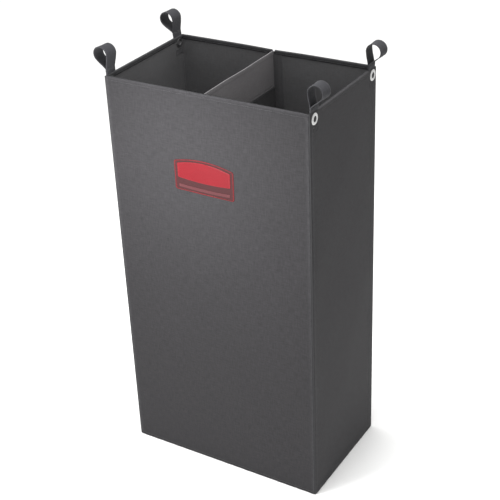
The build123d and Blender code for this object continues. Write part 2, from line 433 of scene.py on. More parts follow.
@dataclass(frozen=True)
class Cloth(Finish):
    """Woven cloth, with its yarns over the piece's UV map."""

    pitch: float = 1.0 * MM
    weave: Weave = Weave.PLAIN
    depth: float = 0.25
    mottle_scale: float = 6.0
    mottle: float = 0.10
    rub_colour: Colour = (0.2, 0.2, 0.21)
    rub: float = 0.5
    roughness: float = 0.82
    sheen: float = 0.05
    slub: float = 0.12

    def dress(self, graph: Graph, shader: bpy.types.Node) -> None:
        """Adds yarns, cloudy tone, and edges paled by wear and by a painted highlight."""
        uv = graph.node("ShaderNodeUVMap", {"uv_map": "Cloth"}).outputs["UV"]
        place = graph.node("ShaderNodeTexCoord").outputs["Object"]
        over, under = self.weave.value
        yarns = graph.group(Effects.weave(), Vector=uv, Pitch=self.pitch, Over=over, Under=under, Slub=self.slub)
        clouds = graph.group(Effects.mottle(), Vector=place, Scale=self.mottle_scale, Amount=self.mottle, Grain=0.05)
        rub = graph.node("ShaderNodeAttribute", {"attribute_name": "rub"}).outputs["Fac"]
        wear_and_highlight_mask = graph.group(Effects.rubbed(), Vector=place, Rub=rub, Strength=self.rub)
        tone = graph.math("MULTIPLY", clouds["Tone"], yarns["Shade"])
        toned = graph.mix_colour(1.0, self.rgba(), tone, "MULTIPLY")
        graph.join(graph.mix_colour(wear_and_highlight_mask["Mask"], toned, (*self.rub_colour, 1.0)), shader.inputs["Base Color"])
        rough = graph.ramp(clouds["Mask"], 0.0, 1.0, self.roughness - 0.05, self.roughness + 0.05)
        smoothed = graph.math("SUBTRACT", rough, graph.math("MULTIPLY", wear_and_highlight_mask["Mask"], 0.15))
        graph.join(smoothed, shader.inputs["Roughness"])
        graph.emboss(shader, yarns["Height"], self.depth, 0.25 * MM)
        shader.inputs["Sheen Weight"].default_value = self.sheen
        shader.inputs["Sheen Roughness"].default_value = 0.5
        shader.inputs["Specular IOR Level"].default_value = 0.2


@dataclass(frozen=True)
class Thread(Finish):
    """Sewing thread, with the turns of its twist."""

    def dress(self, graph: Graph, shader: bpy.types.Node) -> None:
        """Adds the twist, with painted shade in its grooves."""
        place = graph.node("ShaderNodeTexCoord").outputs["Object"]
        wave = graph.node("ShaderNodeTexWave", {"bands_direction": "DIAGONAL"}, Vector=place, Scale=900.0,
                          Distortion=0.6)
        # Painted shade: the thread is darker in the grooves of its twist.
        twist_shade = tuple(0.6 * part for part in self.colour)
        graph.join(graph.mix_colour(wave.outputs["Fac"], (*twist_shade, 1.0), self.rgba()), shader.inputs["Base Color"])
        graph.join(graph.ramp(wave.outputs["Fac"], 0.0, 1.0, 0.7, 0.5), shader.inputs["Roughness"])
        graph.emboss(shader, wave.outputs["Fac"], 0.4, 0.1 * MM)


@dataclass(frozen=True)
class Plated(Finish):
    """Bright plated metal with fine scratches and dulled patches."""

    roughness: float = 0.22

    def dress(self, graph: Graph, shader: bpy.types.Node) -> None:
        """Adds scratches and dull patches."""
        place = graph.node("ShaderNodeTexCoord").outputs["Object"]
        clouds = graph.group(Effects.mottle(), Vector=place, Scale=220.0, Amount=0.25, Grain=0.08)
        scratch = graph.node("ShaderNodeTexNoise", Vector=place, Scale=1400.0, Detail=2.0)
        toned = graph.mix_colour(1.0, self.rgba(), clouds["Tone"], "MULTIPLY")
        graph.join(toned, shader.inputs["Base Color"])
        rough = graph.ramp(clouds["Mask"], 0.0, 1.0, self.roughness, self.roughness + 0.16)
        graph.join(rough, shader.inputs["Roughness"])
        graph.emboss(shader, scratch.outputs["Fac"], 0.08, 0.05 * MM)
        shader.inputs["Metallic"].default_value = 1.0


@dataclass(frozen=True)
class Moulded(Finish):
    """Soft moulded plastic or stiff plastic sheet, with a pebbled grain."""

    roughness: float = 0.5
    grain: float = 900.0
    depth: float = 0.2
    rub_colour: Colour = (0.3, 0.3, 0.3)
    rub: float = 0.3
    specular: float = 0.25

    def dress(self, graph: Graph, shader: bpy.types.Node) -> None:
        """Adds the grain, uneven tone and paler, smoother edges."""
        place = graph.node("ShaderNodeTexCoord").outputs["Object"]
        clouds = graph.group(Effects.mottle(), Vector=place, Scale=25.0, Amount=0.12, Grain=0.06)
        rub = graph.node("ShaderNodeAttribute", {"attribute_name": "rub"}).outputs["Fac"]
        wear_and_highlight_mask = graph.group(Effects.rubbed(), Vector=place, Rub=rub, Strength=self.rub)
        pebbles = graph.node("ShaderNodeTexVoronoi", Vector=place, Scale=self.grain)
        toned = graph.mix_colour(1.0, self.rgba(), clouds["Tone"], "MULTIPLY")
        graph.join(graph.mix_colour(wear_and_highlight_mask["Mask"], toned, (*self.rub_colour, 1.0)), shader.inputs["Base Color"])
        rough = graph.ramp(clouds["Mask"], 0.0, 1.0, self.roughness - 0.06, self.roughness + 0.06)
        graph.join(rough, shader.inputs["Roughness"])
        graph.emboss(shader, pebbles.outputs["Distance"], self.depth, 0.1 * MM)
        shader.inputs["Specular IOR Level"].default_value = self.specular


# The outer cloth's paler edge colour is partly a painted highlight along its corners and rim, partly wear.
SHELL_CLOTH = Cloth("Outer cloth", "shell_cloth", (0.0214, 0.0204, 0.0223), mottle=0.16, pitch=0.9 * MM,
                    rub_colour=(0.045, 0.044, 0.048), slub=0.34)
LINING_CLOTH = Cloth("Lining cloth", "lining_cloth", (0.088, 0.087, 0.09), pitch=0.7 * MM, roughness=0.75)
# Painted glow: the band is thin cloth, made paler than the lining for the light that shines through it from its far
# side.
BAND_CLOTH_PAINTED_GLOW = Cloth("Divider band cloth", "divider_band", (0.158, 0.151, 0.156), pitch=0.8 * MM, mottle=0.08, rub=0.15)
# Painted shade: the sleeve is lining cloth, made darker than the lining because its boarded face lies in shade.
SLEEVE_CLOTH_PAINTED_SHADE = Cloth("Divider sleeve cloth", "lining_cloth", (0.045, 0.044, 0.046), pitch=0.7 * MM)
BASE_CLOTH = Cloth("Floor board cloth", "base_cloth", (0.06, 0.059, 0.062), pitch=0.9 * MM, weave=Weave.BASKET)
WEBBING = Cloth("Webbing", "webbing", (0.026, 0.026, 0.03), pitch=1.3 * MM, weave=Weave.RIB, depth=0.6,
                rub_colour=(0.05, 0.05, 0.054))
TAPE_CLOTH = Cloth("Binding tape", "rim_tape", (0.026, 0.0258, 0.0275), pitch=1.1 * MM, weave=Weave.RIB, depth=0.4,
                   rub_colour=(0.045, 0.045, 0.048))
SEAM_CLOTH = Cloth("Seam allowance", "seam", (0.04, 0.04, 0.042), pitch=0.8 * MM)
FLANGE_CLOTH = Cloth("Seam tape", "seam", (0.07, 0.069, 0.072), pitch=0.9 * MM)
DARK_THREAD = Thread("Dark thread", "seam", (0.05, 0.05, 0.054))
NICKEL = Plated("Bright nickel", "nickel", (0.5, 0.5, 0.5))
# Painted shade: the inside washers are plain nickel, made dark here for the shade inside the bag.
NICKEL_PAINTED_SHADE = Plated("Blackened nickel", "nickel", (0.14, 0.14, 0.143), roughness=0.5)
STIFF_SHEET = Moulded("Stiff black sheet", "stiffener", (0.02, 0.02, 0.022), roughness=0.6, grain=500.0)
BADGE_FIELD = Moulded("Badge field", "badge", (0.034, 0.011, 0.012), roughness=0.6, specular=0.1,
                      rub_colour=(0.09, 0.02, 0.022))
BADGE_EDGE = Moulded("Badge edging", "badge", (0.115, 0.01, 0.012), roughness=0.55, specular=0.1,
                     rub_colour=(0.15, 0.02, 0.022))
BADGE_BAR = Moulded("Badge bar", "badge", (0.062, 0.02, 0.022), roughness=0.55, specular=0.1,
                    rub_colour=(0.1, 0.035, 0.037))
BADGE_RED = Moulded("Badge red", "badge_plate", (0.118, 0.0045, 0.008), roughness=0.5,
                    rub_colour=(0.2, 0.02, 0.025), specular=0.12)


# ---------------------------------------------------------------------------------------------
# Mesh making
# ---------------------------------------------------------------------------------------------


@dataclass
class Surface:
    """Vertices, faces, UVs in metres and, for each vertex, how much wear and painted highlight pale it, before they
    become a mesh.
    """

    points: Points
    faces: list[tuple[int, ...]]
    uvs: list[tuple[float, float]]
    rub: Points

    @classmethod
    def from_grid(cls, points: Points, u: Points, v: Points, wrap_u: bool = False, wrap_v: bool = False,
                  rub: Points | None = None, cap: bool = False) -> "Surface":
        """Makes quads over a grid of points.

        Args:
            points: rows by columns by 3.
            u: UV along a row, one more than the columns if the rows close.
            v: UV up a column, one more than the rows if the columns close.
            wrap_u: whether each row closes on itself.
            wrap_v: whether each column closes on itself.
            rub: how much each point is paled by wear and painted highlight.
            cap: whether the first and last column get an end face.

        Returns:
            The surface.
        """
        rows, columns = points.shape[:2]
        faces, uvs = [], []
        for row in range(rows if wrap_v else rows - 1):
            near, far = row * columns, (row + 1) % rows * columns
            for column in range(columns if wrap_u else columns - 1):
                beside = (column + 1) % columns
                faces.append((near + column, near + beside, far + beside, far + column))
                (left, right), (low, high) = u[column : column + 2], v[row : row + 2]
                uvs += [(left, low), (right, low), (right, high), (left, high)]
        if cap:
            for column, order in ((0, 1), (columns - 1, -1)):
                ring = [row * columns + column for row in range(rows)][::order]
                faces.append(tuple(ring))
                uvs += [(0.3 * MM * index, v[0]) for index in range(rows)]
        shade = np.zeros(rows * columns) if rub is None else np.broadcast_to(rub, (rows, columns)).ravel()
        return cls(points.reshape(-1, 3), faces, uvs, shade)

    def closed(self, columns: int) -> "Surface":
        """Closes the first and last ring of a surface whose rows close on themselves.

        Args:
            columns: points in a ring.

        Returns:
            The surface itself.
        """
        last = len(self.points) - columns
        for ring in (range(columns - 1, -1, -1), range(last, last + columns)):
            self.faces.append(tuple(ring))
            self.uvs += [tuple(self.points[index][:2]) for index in ring]
        return self

    def joined(self, *others: "Surface") -> "Surface":
        """This surface and others as one.

        Args:
            others: what is added.

        Returns:
            The joined surface.
        """
        everything = (self, *others)
        starts = np.cumsum([0] + [len(part.points) for part in everything])
        faces = [
            tuple(int(start) + index for index in face)
            for start, part in zip(starts, everything)
            for face in part.faces
        ]
        uvs = [uv for part in everything for uv in part.uvs]
        return Surface(np.concatenate([part.points for part in everything]), faces, uvs,
                       np.concatenate([part.rub for part in everything]))

    def piece(self, name: str, finish: Finish, crease: float = 40.0) -> bpy.types.Object:
        """Makes the surface a Blender object.

        Args:
            name: the object's name.
            finish: what it is made of.
            crease: degrees past which an edge stays sharp.

        Returns:
            The new object.
        """
        mesh = bpy.data.meshes.new(name)
        mesh.from_pydata(self.points.tolist(), [], self.faces)
        layer = mesh.uv_layers.new(name="Cloth")
        layer.data.foreach_set("uv", np.array(self.uvs, np.float32).ravel())
        rub = mesh.attributes.new("rub", "FLOAT", "POINT")
        rub.data.foreach_set("value", np.ascontiguousarray(self.rub, np.float32))
        mesh.validate()
        mesh.materials.append(finish.material())
        mesh.shade_smooth()
        mesh.set_sharp_from_angle(angle=math.radians(crease))
        made = bpy.data.objects.new(name, mesh)
        bpy.context.scene.collection.objects.link(made)
        return made


def spaced(start: float, end: float, step: float) -> np.ndarray:
    """Evenly spaced values from start to end.

    Args:
        start: first value.
        end: last value.
        step: the largest step.

    Returns:
        The values, ends included.
    """
    return np.linspace(start, end, max(2, int(math.ceil(abs(end - start) / step)) + 1))


def graded(start: float, end: float, fine: float, coarse: float, reach: float) -> np.ndarray:
    """Values from start to end, closer together near both ends.

    Args:
        start: first value.
        end: last value.
        fine: step near the ends.
        coarse: step between.
        reach: how far the fine step runs in.

    Returns:
        The values, ends included.
    """
    low, high = start + reach, end - reach
    if low >= high:
        return spaced(start, end, fine)
    return np.concatenate([spaced(start, low, fine)[:-1], spaced(low, high, coarse), spaced(high, end, fine)[1:]])


def lengths(path: Points) -> np.ndarray:
    """Distance along a path.

    Args:
        path: points in order.

    Returns:
        The distance of each point from the first.
    """
    return np.concatenate([[0.0], np.cumsum(np.linalg.norm(np.diff(path, axis=0), axis=1))])


def hump(distance: Points, width: float) -> Points:
    """A bell curve: 1 at no distance, falling away over `width`."""
    return np.exp(-((distance / width) ** 2))


def fade(distance: Points, reach: float) -> Points:
    """A slope from 0 at no distance to 1 at `reach`, level beyond both."""
    return np.clip(distance / reach, 0, 1)


def webbing_section(half_w: float, half_t: float, edge: float, blunt: float) -> Points:
    """The section of flat webbing, once round, with its edges rounded.

    Args:
        half_w: half of its width.
        half_t: half of its thickness.
        edge: how far in the rounding starts.
        blunt: the edge's height, as a share of the thickness.

    Returns:
        Places across and up.
    """
    ribs = spaced(-half_w + edge, half_w - edge, 2.2 * MM)
    return np.vstack([
        np.column_stack([ribs, np.full(len(ribs), half_t)]),
        [(half_w, blunt * half_t), (half_w, -blunt * half_t)],
        np.column_stack([ribs[::-1], np.full(len(ribs), -half_t)]),
        [(-half_w, -blunt * half_t), (-half_w, blunt * half_t)],
    ])


def joint_named(name: str) -> dict:
    """The record's joint of that name."""
    return next(joint for joint in frame["record"]["behaviour"]["joints"] if joint["name"] == name)


def unit(vectors: Points) -> Points:
    """Vectors scaled to length 1.

    Args:
        vectors: any array whose last axis is XYZ.

    Returns:
        The scaled vectors.
    """
    return vectors / np.maximum(np.linalg.norm(vectors, axis=-1, keepdims=True), 1e-12)


@dataclass(frozen=True)
class Stitching:
    """How a row of thread is sewn."""

    stitch: float = 3.2 * MM
    pitch: float = 4.0 * MM
    thick: float = 0.3 * MM
    sides: int = 6
    stations: tuple[float, ...] = (0.0, 0.2, 0.8, 1.0)
    lifts: tuple[float, ...] = (-0.5, 0.35, 0.35, -0.5)
    widths: tuple[float, ...] = (0.55, 1.0, 1.0, 0.55)

    def row(self, path: Points, normals: Points) -> Surface:
        """Stitches along a path.

        Args:
            path: points on the cloth, in order.
            normals: the cloth's outward direction at each.

        Returns:
            The stitches.
        """
        along = lengths(path)
        count = max(1, int(along[-1] / self.pitch))
        starts = (np.arange(count) + 0.5) * along[-1] / count - self.stitch / 2
        stops = starts[:, None] + np.array(self.stations) * self.stitch
        where = np.clip(stops, 0.0, along[-1])
        centre = np.stack([np.interp(where, along, path[:, axis]) for axis in range(3)], axis=-1)
        upward = unit(np.stack([np.interp(where, along, normals[:, axis]) for axis in range(3)], axis=-1))
        lift, width = np.array(self.lifts) * self.thick, np.array(self.widths) * self.thick
        centre = centre + upward * lift[:, None]
        forward = unit(centre[:, -1] - centre[:, 0])[:, None, :]
        across = unit(np.cross(np.broadcast_to(forward, upward.shape), upward))
        turns = np.arange(self.sides) * math.tau / self.sides
        ring = (np.cos(turns)[:, None] * across[:, :, None, :] + np.sin(turns)[:, None] * upward[:, :, None, :])
        points = centre[:, :, None, :] + ring * width[:, None, None]
        rings, sides = len(lift), self.sides
        faces, uvs = [], []
        for index in range(count):
            base = index * rings * sides
            for near in range(base, base + (rings - 1) * sides, sides):
                for turn in range(sides):
                    after = (turn + 1) % sides
                    faces.append((near + turn, near + sides + turn, near + sides + after, near + after))
            faces.append(tuple(range(base, base + sides)))
            faces.append(tuple(range(base + rings * sides - 1, base + (rings - 1) * sides - 1, -1)))
            uvs += [(0.0, 0.0)] * ((rings - 1) * sides * 4 + 2 * sides)
        return Surface(points.reshape(-1, 3), faces, uvs, np.zeros(count * rings * sides))


TOP_STITCH = Stitching()
TACK_STITCH = Stitching(stitch=1.7 * MM, pitch=2.0 * MM, thick=0.32 * MM)


# ---------------------------------------------------------------------------------------------
# The bag's form
# ---------------------------------------------------------------------------------------------


@dataclass(frozen=True)
class BagForm:
    """The shape that every sewn piece follows: flat walls that swell a little and pucker at seams."""

    half_x: float
    half_y: float
    height: float
    wall: float
    floor: float
    eyelet_y: float
    eyelet_z: float
    corner_r: float = 6.0 * MM
    corner_steps: int = 8
    notch_half: float = 4.0 * MM
    notch_deep: float = 5.0 * MM
    notch_reach: float = 14.0 * MM
    front_swell: float = 2.4 * MM
    end_swell: float = 1.6 * MM
    drift: float = 0.55 * MM
    seam_pucker: float = 0.22 * MM
    rim_pucker: float = 0.22 * MM
    seam_line: float = 4.6 * MM
    hem_line: float = 6.5 * MM
    gather: float = 0.45 * MM
    tape_lines: tuple[float, float] = (10 * MM, 22 * MM)
    tape_top: float = 38 * MM
    groove_w: float = 1.1 * MM
    groove_deep: float = 0.25 * MM
    tape_groove_deep: float = 0.3 * MM
    back_hollow: float = 2.5 * MM
    eyelet_flat: float = 11 * MM

    @classmethod
    def of_frame(cls) -> "BagForm":
        """Reads the bag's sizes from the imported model.

        Returns:
            The form.
        """
        front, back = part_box("shell_front"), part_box("shell_back")
        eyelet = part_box("eyelet_back_right")
        middle = (np.array(eyelet[0]) + np.array(eyelet[1])) / 2
        return cls(
            half_x=front[1][0],
            half_y=back[1][1],
            height=front[1][2],
            wall=front[1][0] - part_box("lining_right")[0][0],
            floor=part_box("lining_bottom")[1][2],
            eyelet_y=middle[1],
            eyelet_z=middle[2],
        )

    def half(self, wall: Wall) -> float:
        """Half of a wall's length."""
        return self.half_x if wall.runs_in_x else self.half_y

    def reach(self, wall: Wall) -> float:
        """How far a wall's outer face is from the middle."""
        return self.half_y if wall.runs_in_x else self.half_x

    def swell(self, wall: Wall, along: Points, z: Points) -> Points:
        """How far a wall stands out of its flat place.

        Args:
            wall: which wall.
            along: place along it, from its middle.
            z: height.

        Returns:
            The outward distance.
        """
        half = self.half(wall)
        share, level = np.clip(np.abs(along) / half, 0, 1), np.clip(z / self.height, 0, 1)
        inner = 1.0 - share**2
        upward = np.sin(math.pi * level)
        depth = self.front_swell if wall.runs_in_x else self.end_swell
        body = depth * inner * np.maximum(upward, 0.0) ** 0.8
        phase = wall.phase
        cloudy = np.sin(21 * along + 1.3 * phase) * np.sin(13 * z + 0.7 * phase)
        cloudy = cloudy + 0.6 * np.sin(37 * along + 2.1 * phase) * np.sin(29 * z + 1.9 * phase)
        near_rim, near_foot = np.minimum(1.0, 6 * (1 - level)), np.minimum(1.0, 6 * level)
        loose = self.drift * cloudy * np.minimum(1.0, 4 * inner) * near_rim * near_foot
        edge = half - np.abs(along)
        ripple = np.sin(z / (2.9 * MM) + 0.8 * np.sin(z / (17 * MM))) * (0.6 + 0.4 * np.sin(z / (41 * MM)))
        pucker = self.seam_pucker * ripple * hump(edge, 9 * MM)
        groove = -self.groove_deep * hump(edge - self.seam_line, self.groove_w)
        low = np.sin(along / (4.1 * MM) + phase) * hump(z - 6 * MM, 8 * MM)
        under = self.height - z
        high = np.sin(along / (3.7 * MM) + phase + 0.7 * np.sin(along / (23 * MM)))
        high = high * hump(under - self.hem_line, 6 * MM)
        hem = -self.groove_deep * hump(under - self.hem_line, self.groove_w)
        rim = self.rim_pucker * high + hem + 0.25 * MM * low
        slant = np.sin((edge + 0.8 * under) / (4.2 * MM) + phase) * fade(edge, 6 * MM)
        gather = self.gather * slant * np.exp(-((edge / (24 * MM)) ** 2) - (under / (60 * MM)) ** 2)
        total = body + loose + pucker + groove + gather + rim * np.minimum(1.0, edge / (12 * MM))
        if wall is Wall.BACK:
            total = total - self.back_hollow * hump(along, 45 * MM) * level**8
        if not wall.runs_in_x:
            gap = np.hypot(np.abs(along) - self.eyelet_y, z - self.eyelet_z)
            total = total * fade(gap - self.eyelet_flat, 16 * MM)
            for line in self.tape_lines:
                dent = self.tape_groove_deep * hump(half - along - line, self.groove_w)
                total = total - dent * fade(under - self.tape_top, 6 * MM)
        return total

    def sink(self, wall: Wall, along: Points, z: Points) -> Points:
        """How far a point near the rim hangs below its flat place.

        Args:
            wall: which wall.
            along: place along it.
            z: height.

        Returns:
            The drop.
        """
        if wall is not Wall.BACK:
            return np.zeros(np.broadcast(along, z).shape)
        near = fade(z - (self.height - self.notch_reach), self.notch_reach)
        notch = self.notch_deep * np.clip(1 - np.abs(along) / self.notch_half, 0, 1)
        return near * notch

    def place(self, wall: Wall, along: Points, z: Points, out: Points) -> Points:
        """Points on or near a wall.

        Args:
            wall: which wall.
            along: place along it: X on the long walls, Y on the end walls.
            z: height.
            out: distance out of its outer face, negative inside it.

        Returns:
            The points.
        """
        along, z, out = np.broadcast_arrays(np.asarray(along, float), np.asarray(z, float), np.asarray(out, float))
        far = self.reach(wall) + out + self.swell(wall, along, z)
        level = z - self.sink(wall, along, z)
        if wall.runs_in_x:
            return np.stack([along, wall.out[1] * far, level], axis=-1)
        return np.stack([wall.out[0] * far, along, level], axis=-1)

    def columns(self) -> list[Column]:
        """The bag's outline, once round from the middle of the back towards the left.

        Returns:
            For each column its wall, its place along that wall, and its turn round a corner from 0 to 1.
        """
        r = self.corner_r
        found: list[Column] = []
        notch = [step * MM for step in (1.0, 2.0, 3.0, 4.0, 5.0, 8.0)]

        def run(wall: Wall, start: float, end: float) -> None:
            """Adds a straight stretch."""
            sign = 1 if end > start else -1
            for value in graded(0.0, abs(end - start), 1.5 * MM, 7.5 * MM, 24 * MM)[:-1]:
                found.append((wall, start + sign * value, 0.0))

        def corner(wall: Wall, end: float) -> None:
            """Adds a corner, from the end of one wall to the start of the next."""
            for step in range(self.corner_steps):
                found.append((wall, end, step / self.corner_steps + 1e-6))

        hx, hy = self.half_x - r, self.half_y - r
        found += [(Wall.BACK, 0.0, 0.0)] + [(Wall.BACK, -value, 0.0) for value in notch]
        run(Wall.BACK, -notch[-1] - 4 * MM, -hx)
        corner(Wall.BACK, -hx)
        run(Wall.LEFT, hy, -hy)
        corner(Wall.LEFT, -hy)
        run(Wall.FRONT, -hx, 0.0)
        run(Wall.FRONT, 0.0, hx)
        corner(Wall.FRONT, hx)
        run(Wall.RIGHT, -hy, hy)
        corner(Wall.RIGHT, hy)
        run(Wall.BACK, hx, notch[-1] + 4 * MM)
        found += [(Wall.BACK, value, 0.0) for value in notch[::-1]]
        return found

    @staticmethod
    def heading(column: Column) -> Points:
        """A column's outward direction."""
        wall, _, turn = column
        angle = math.atan2(wall.out[1], wall.out[0]) + turn * math.pi / 2
        return np.array([math.cos(angle), math.sin(angle), 0.0])

    def to_corner(self, column: Column) -> float:
        """Distance along the wall from a column to where its corner begins."""
        return self.half(column[0]) - abs(column[1]) - self.corner_r

    def ring(self, column: Column, z: Points, inset: Points) -> Points:
        """Points of one column of the outline.

        Args:
            column: the column.
            z: heights.
            inset: distance in from the outer face at each height.

        Returns:
            The points.
        """
        wall, along, turn = column
        if turn == 0.0:
            return self.place(wall, np.full(np.shape(z), along), z, -np.asarray(inset))
        outward = self.heading(column)
        hx, hy = self.half_x - self.corner_r, self.half_y - self.corner_r
        centre = np.array([math.copysign(hx, outward[0]), math.copysign(hy, outward[1]), 0.0])
        end = np.full(np.shape(z), math.copysign(self.half(wall), along))
        stand = self.swell(wall, end, np.asarray(z))
        far = self.corner_r - np.asarray(inset) + stand
        return centre + outward * far[:, None] + np.array([0.0, 0.0, 1.0]) * np.asarray(z)[:, None]

    def loft(self, columns: Sequence[Column], z: Points, inset: Points) -> tuple[Points, Points]:
        """A grid over part of the outline.

        Args:
            columns: its columns in order.
            z: the rows' heights.
            inset: the rows' distance in from the outer face.

        Returns:
            The grid, rows by columns by 3, and the distance along the outline.
        """
        grid = np.stack([self.ring(column, z, inset) for column in columns], axis=1)
        middle = np.array([self.ring(column, np.array([self.height / 2]), np.array([0.0]))[0] for column in columns])
        return grid, lengths(middle)

    def slab(self, wall: Wall, ends: tuple[float, float], levels: tuple[float, float], insets: tuple[float, float],
             step: float = 12.0 * MM) -> Surface:
        """A thin closed slab that follows a wall.

        Args:
            wall: which wall.
            ends: where it starts and ends along the wall.
            levels: its lowest and highest level.
            insets: its outer and inner face, in from the wall's outer face.
            step: the largest step of its grid.

        Returns:
            The slab.
        """
        along = spaced(ends[0], ends[1], step)
        edge = min(0.35 * (insets[1] - insets[0]), 0.5 * MM)
        up = spaced(levels[0] + edge, levels[1] - edge, step)
        outer, inner = insets
        z = np.concatenate([[levels[0]], up, [levels[1], levels[1]], up[::-1], [levels[0]]])
        flat_out, flat_in = np.full(len(up), outer), np.full(len(up), inner)
        inset = np.concatenate([[outer + edge], flat_out, [outer + edge, inner - edge], flat_in, [inner - edge]])
        grid = self.place(wall, along[None, :], z[:, None], -inset[:, None])
        if wall in (Wall.BACK, Wall.LEFT):
            grid, along = grid[:, ::-1], along[::-1]
        return Surface.from_grid(grid, along, np.append(z, z[0]), wrap_v=True, cap=True)

    def wall_row(self, wall: Wall, ends: tuple[float, float], levels: tuple[float, float], out: float,
                 stitching: Stitching = TOP_STITCH) -> Surface:
        """A row of stitches on a wall.

        Args:
            wall: which wall.
            ends: where it starts and ends along the wall.
            levels: the heights of its two ends.
            out: distance out of the wall's outer face, negative on the inner face.
            stitching: how it is sewn.

        Returns:
            The stitches.
        """
        steps = max(2, int(math.hypot(ends[1] - ends[0], levels[1] - levels[0]) / (2 * MM)))
        path = self.place(wall, np.linspace(*ends, steps), np.linspace(*levels, steps), out)
        facing = wall.out if out >= 0 else -wall.out
        return stitching.row(path, np.broadcast_to(facing, path.shape))


@dataclass
class Assembly(ABC):
    """A sub-assembly: it builds its pieces, dresses them and says which body carries them."""

    form: BagForm

    @abstractmethod
    def build(self) -> Iterable[bpy.types.Object]:
        """Builds the sub-assembly.

        Returns:
            Its pieces.
        """

    @staticmethod
    def settle(
        surface: Surface, name: str, finish: Finish, body: str, *nodes: str, crease: float = 40.0
    ) -> bpy.types.Object:
        """Makes a surface a piece of the model.

        Args:
            surface: the piece's surface.
            name: its name.
            finish: its finish.
            body: the body that carries it.
            nodes: the solids that it stands for.
            crease: degrees past which an edge stays sharp.

        Returns:
            The piece.
        """
        piece = surface.piece(name, finish, crease)
        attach(piece, body)
        if nodes:
            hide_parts(*nodes)
        return piece

    def sewn(self, name: str, rows: Sequence[Surface], body: str = "bag") -> bpy.types.Object:
        """Makes rows of stitches one piece.

        Args:
            name: the piece's name.
            rows: the rows.
            body: the body that carries them.

        Returns:
            The piece.
        """
        return self.settle(rows[0].joined(*rows[1:]), name, DARK_THREAD, body)


@dataclass
class Dressing:
    """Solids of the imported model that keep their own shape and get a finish."""

    finish: Finish
    nodes: Sequence[str]

    def apply(self) -> None:
        """Assigns the finish."""
        for name in self.nodes:
            mesh = frame["nodes"][name].data
            mesh.materials.clear()
            mesh.materials.append(self.finish.material())


# ---------------------------------------------------------------------------------------------
# Sub-assemblies
# ---------------------------------------------------------------------------------------------


@dataclass
class OuterShell(Assembly):
    """The outer cloth: one wrap round the four walls, rolled over at the rim, and a bottom."""

    fold_r: float = 2.2 * MM
    lip: float = 7.0 * MM
    stitch_out: float = 0.1 * MM
    row_foot: float = 9 * MM
    rim_clear: float = 10 * MM
    tail_clear: float = 42 * MM
    eyelet_clear: float = 13 * MM
    bottom_row: float = 7 * MM

    def profile(self) -> tuple[np.ndarray, np.ndarray]:
        """The wall's profile from the bottom fold to the lip inside the rim.

        Returns:
            Heights and insets.
        """
        form, r = self.form, self.fold_r
        turn = np.linspace(0, math.pi / 2, 5)
        low_z, low_in = r * (1 - np.cos(turn)), r * (1 - np.sin(turn))
        top = form.height - form.wall / 2
        up = graded(r, top, 1.0 * MM, 7.0 * MM, 18 * MM)
        roll = np.linspace(0, math.pi, 11)
        roll_z, roll_in = top + form.wall / 2 * np.sin(roll), form.wall / 2 * (1 - np.cos(roll))
        z = np.concatenate([low_z[:-1], up, roll_z[1:], [top - self.lip / 2, top - self.lip]])
        inset = np.concatenate([low_in[:-1], np.zeros(len(up)), roll_in[1:], [form.wall, form.wall]])
        return z, inset

    def build(self) -> Iterable[bpy.types.Object]:
        """Builds the wrap, the bottom and their stitching.

        Returns:
            The pieces.
        """
        form = self.form
        z, inset = self.profile()
        columns = form.columns()
        grid, u = form.loft(columns, z, inset)
        u = np.append(u, u[-1] + 1 * MM)
        profile = np.stack([inset, np.zeros_like(z), z], axis=1)
        # Painted highlight, with wear: the corners and the rolled rim are paled where they catch the light.
        corner = np.array([1.0 if column[2] else hump(form.to_corner(column), 3 * MM) for column in columns])
        top = hump(z - form.height, 2.5 * MM)
        rub = np.maximum(corner[None, :] * 0.75, top[:, None])
        wrap = Surface.from_grid(grid, u, lengths(profile), wrap_u=True, rub=rub)
        shells = ("shell_front", "shell_back", "shell_left", "shell_right")
        piece = self.settle(wrap, "outer_cloth", SHELL_CLOTH, "bag", *shells, crease=60)
        lengths(profile)[-1]
        yield piece
        yield self.bottom()
        yield self.stitching()

    def bottom(self) -> bpy.types.Object:
        """The bottom panel, with its edges turned up into the fold.

        Returns:
            The piece.
        """
        form = self.form
        x = graded(-form.half_x + self.fold_r, form.half_x - self.fold_r, 2 * MM, 12 * MM, 8 * MM)
        y = graded(-form.half_y + self.fold_r, form.half_y - self.fold_r, 2 * MM, 12 * MM, 8 * MM)
        xs, ys = np.meshgrid(x, y)
        near = np.minimum(form.half_x - np.abs(xs), form.half_y - np.abs(ys)) - self.fold_r
        swell = 1 + np.sin(xs / (31 * MM)) * np.sin(ys / (27 * MM))
        lift = 0.25 * MM * hump(near, 2.5 * MM) + 0.12 * MM * swell * fade(near, 20 * MM)
        grid = np.stack([xs, ys, lift], axis=-1)
        surface = Surface.from_grid(grid[::-1], x, y[::-1])
        piece = self.settle(surface, "bottom_cloth", SHELL_CLOTH, "bag", "shell_bottom")
        return piece

    def stitching(self) -> bpy.types.Object:
        """The rows that close the corners, the rim and the bottom.

        Returns:
            The piece.
        """
        form, out = self.form, self.stitch_out
        rows = []
        levels = (self.row_foot, form.height - self.rim_clear)
        tape_levels = (self.row_foot, form.height - self.tail_clear)
        for sign in (-1, 1):
            for wall in (Wall.FRONT, Wall.BACK):
                along = sign * (form.half(wall) - form.seam_line)
                rows.append(form.wall_row(wall, (along, along), levels, out))
        for wall in (Wall.LEFT, Wall.RIGHT):
            for along in (form.half_y - line for line in form.tape_lines):
                rows.append(form.wall_row(wall, (along, along), tape_levels, out))
        for wall in Wall:
            half = form.half(wall) - form.corner_r - 1 * MM
            for level in (form.height - form.hem_line, self.bottom_row):
                beside_eyelets = not wall.runs_in_x and level > form.height / 2
                end = form.eyelet_y - self.eyelet_clear if beside_eyelets else half
                rows.append(form.wall_row(wall, (-end, end), (level, level), out))
        return self.sewn("outer_stitching", rows)


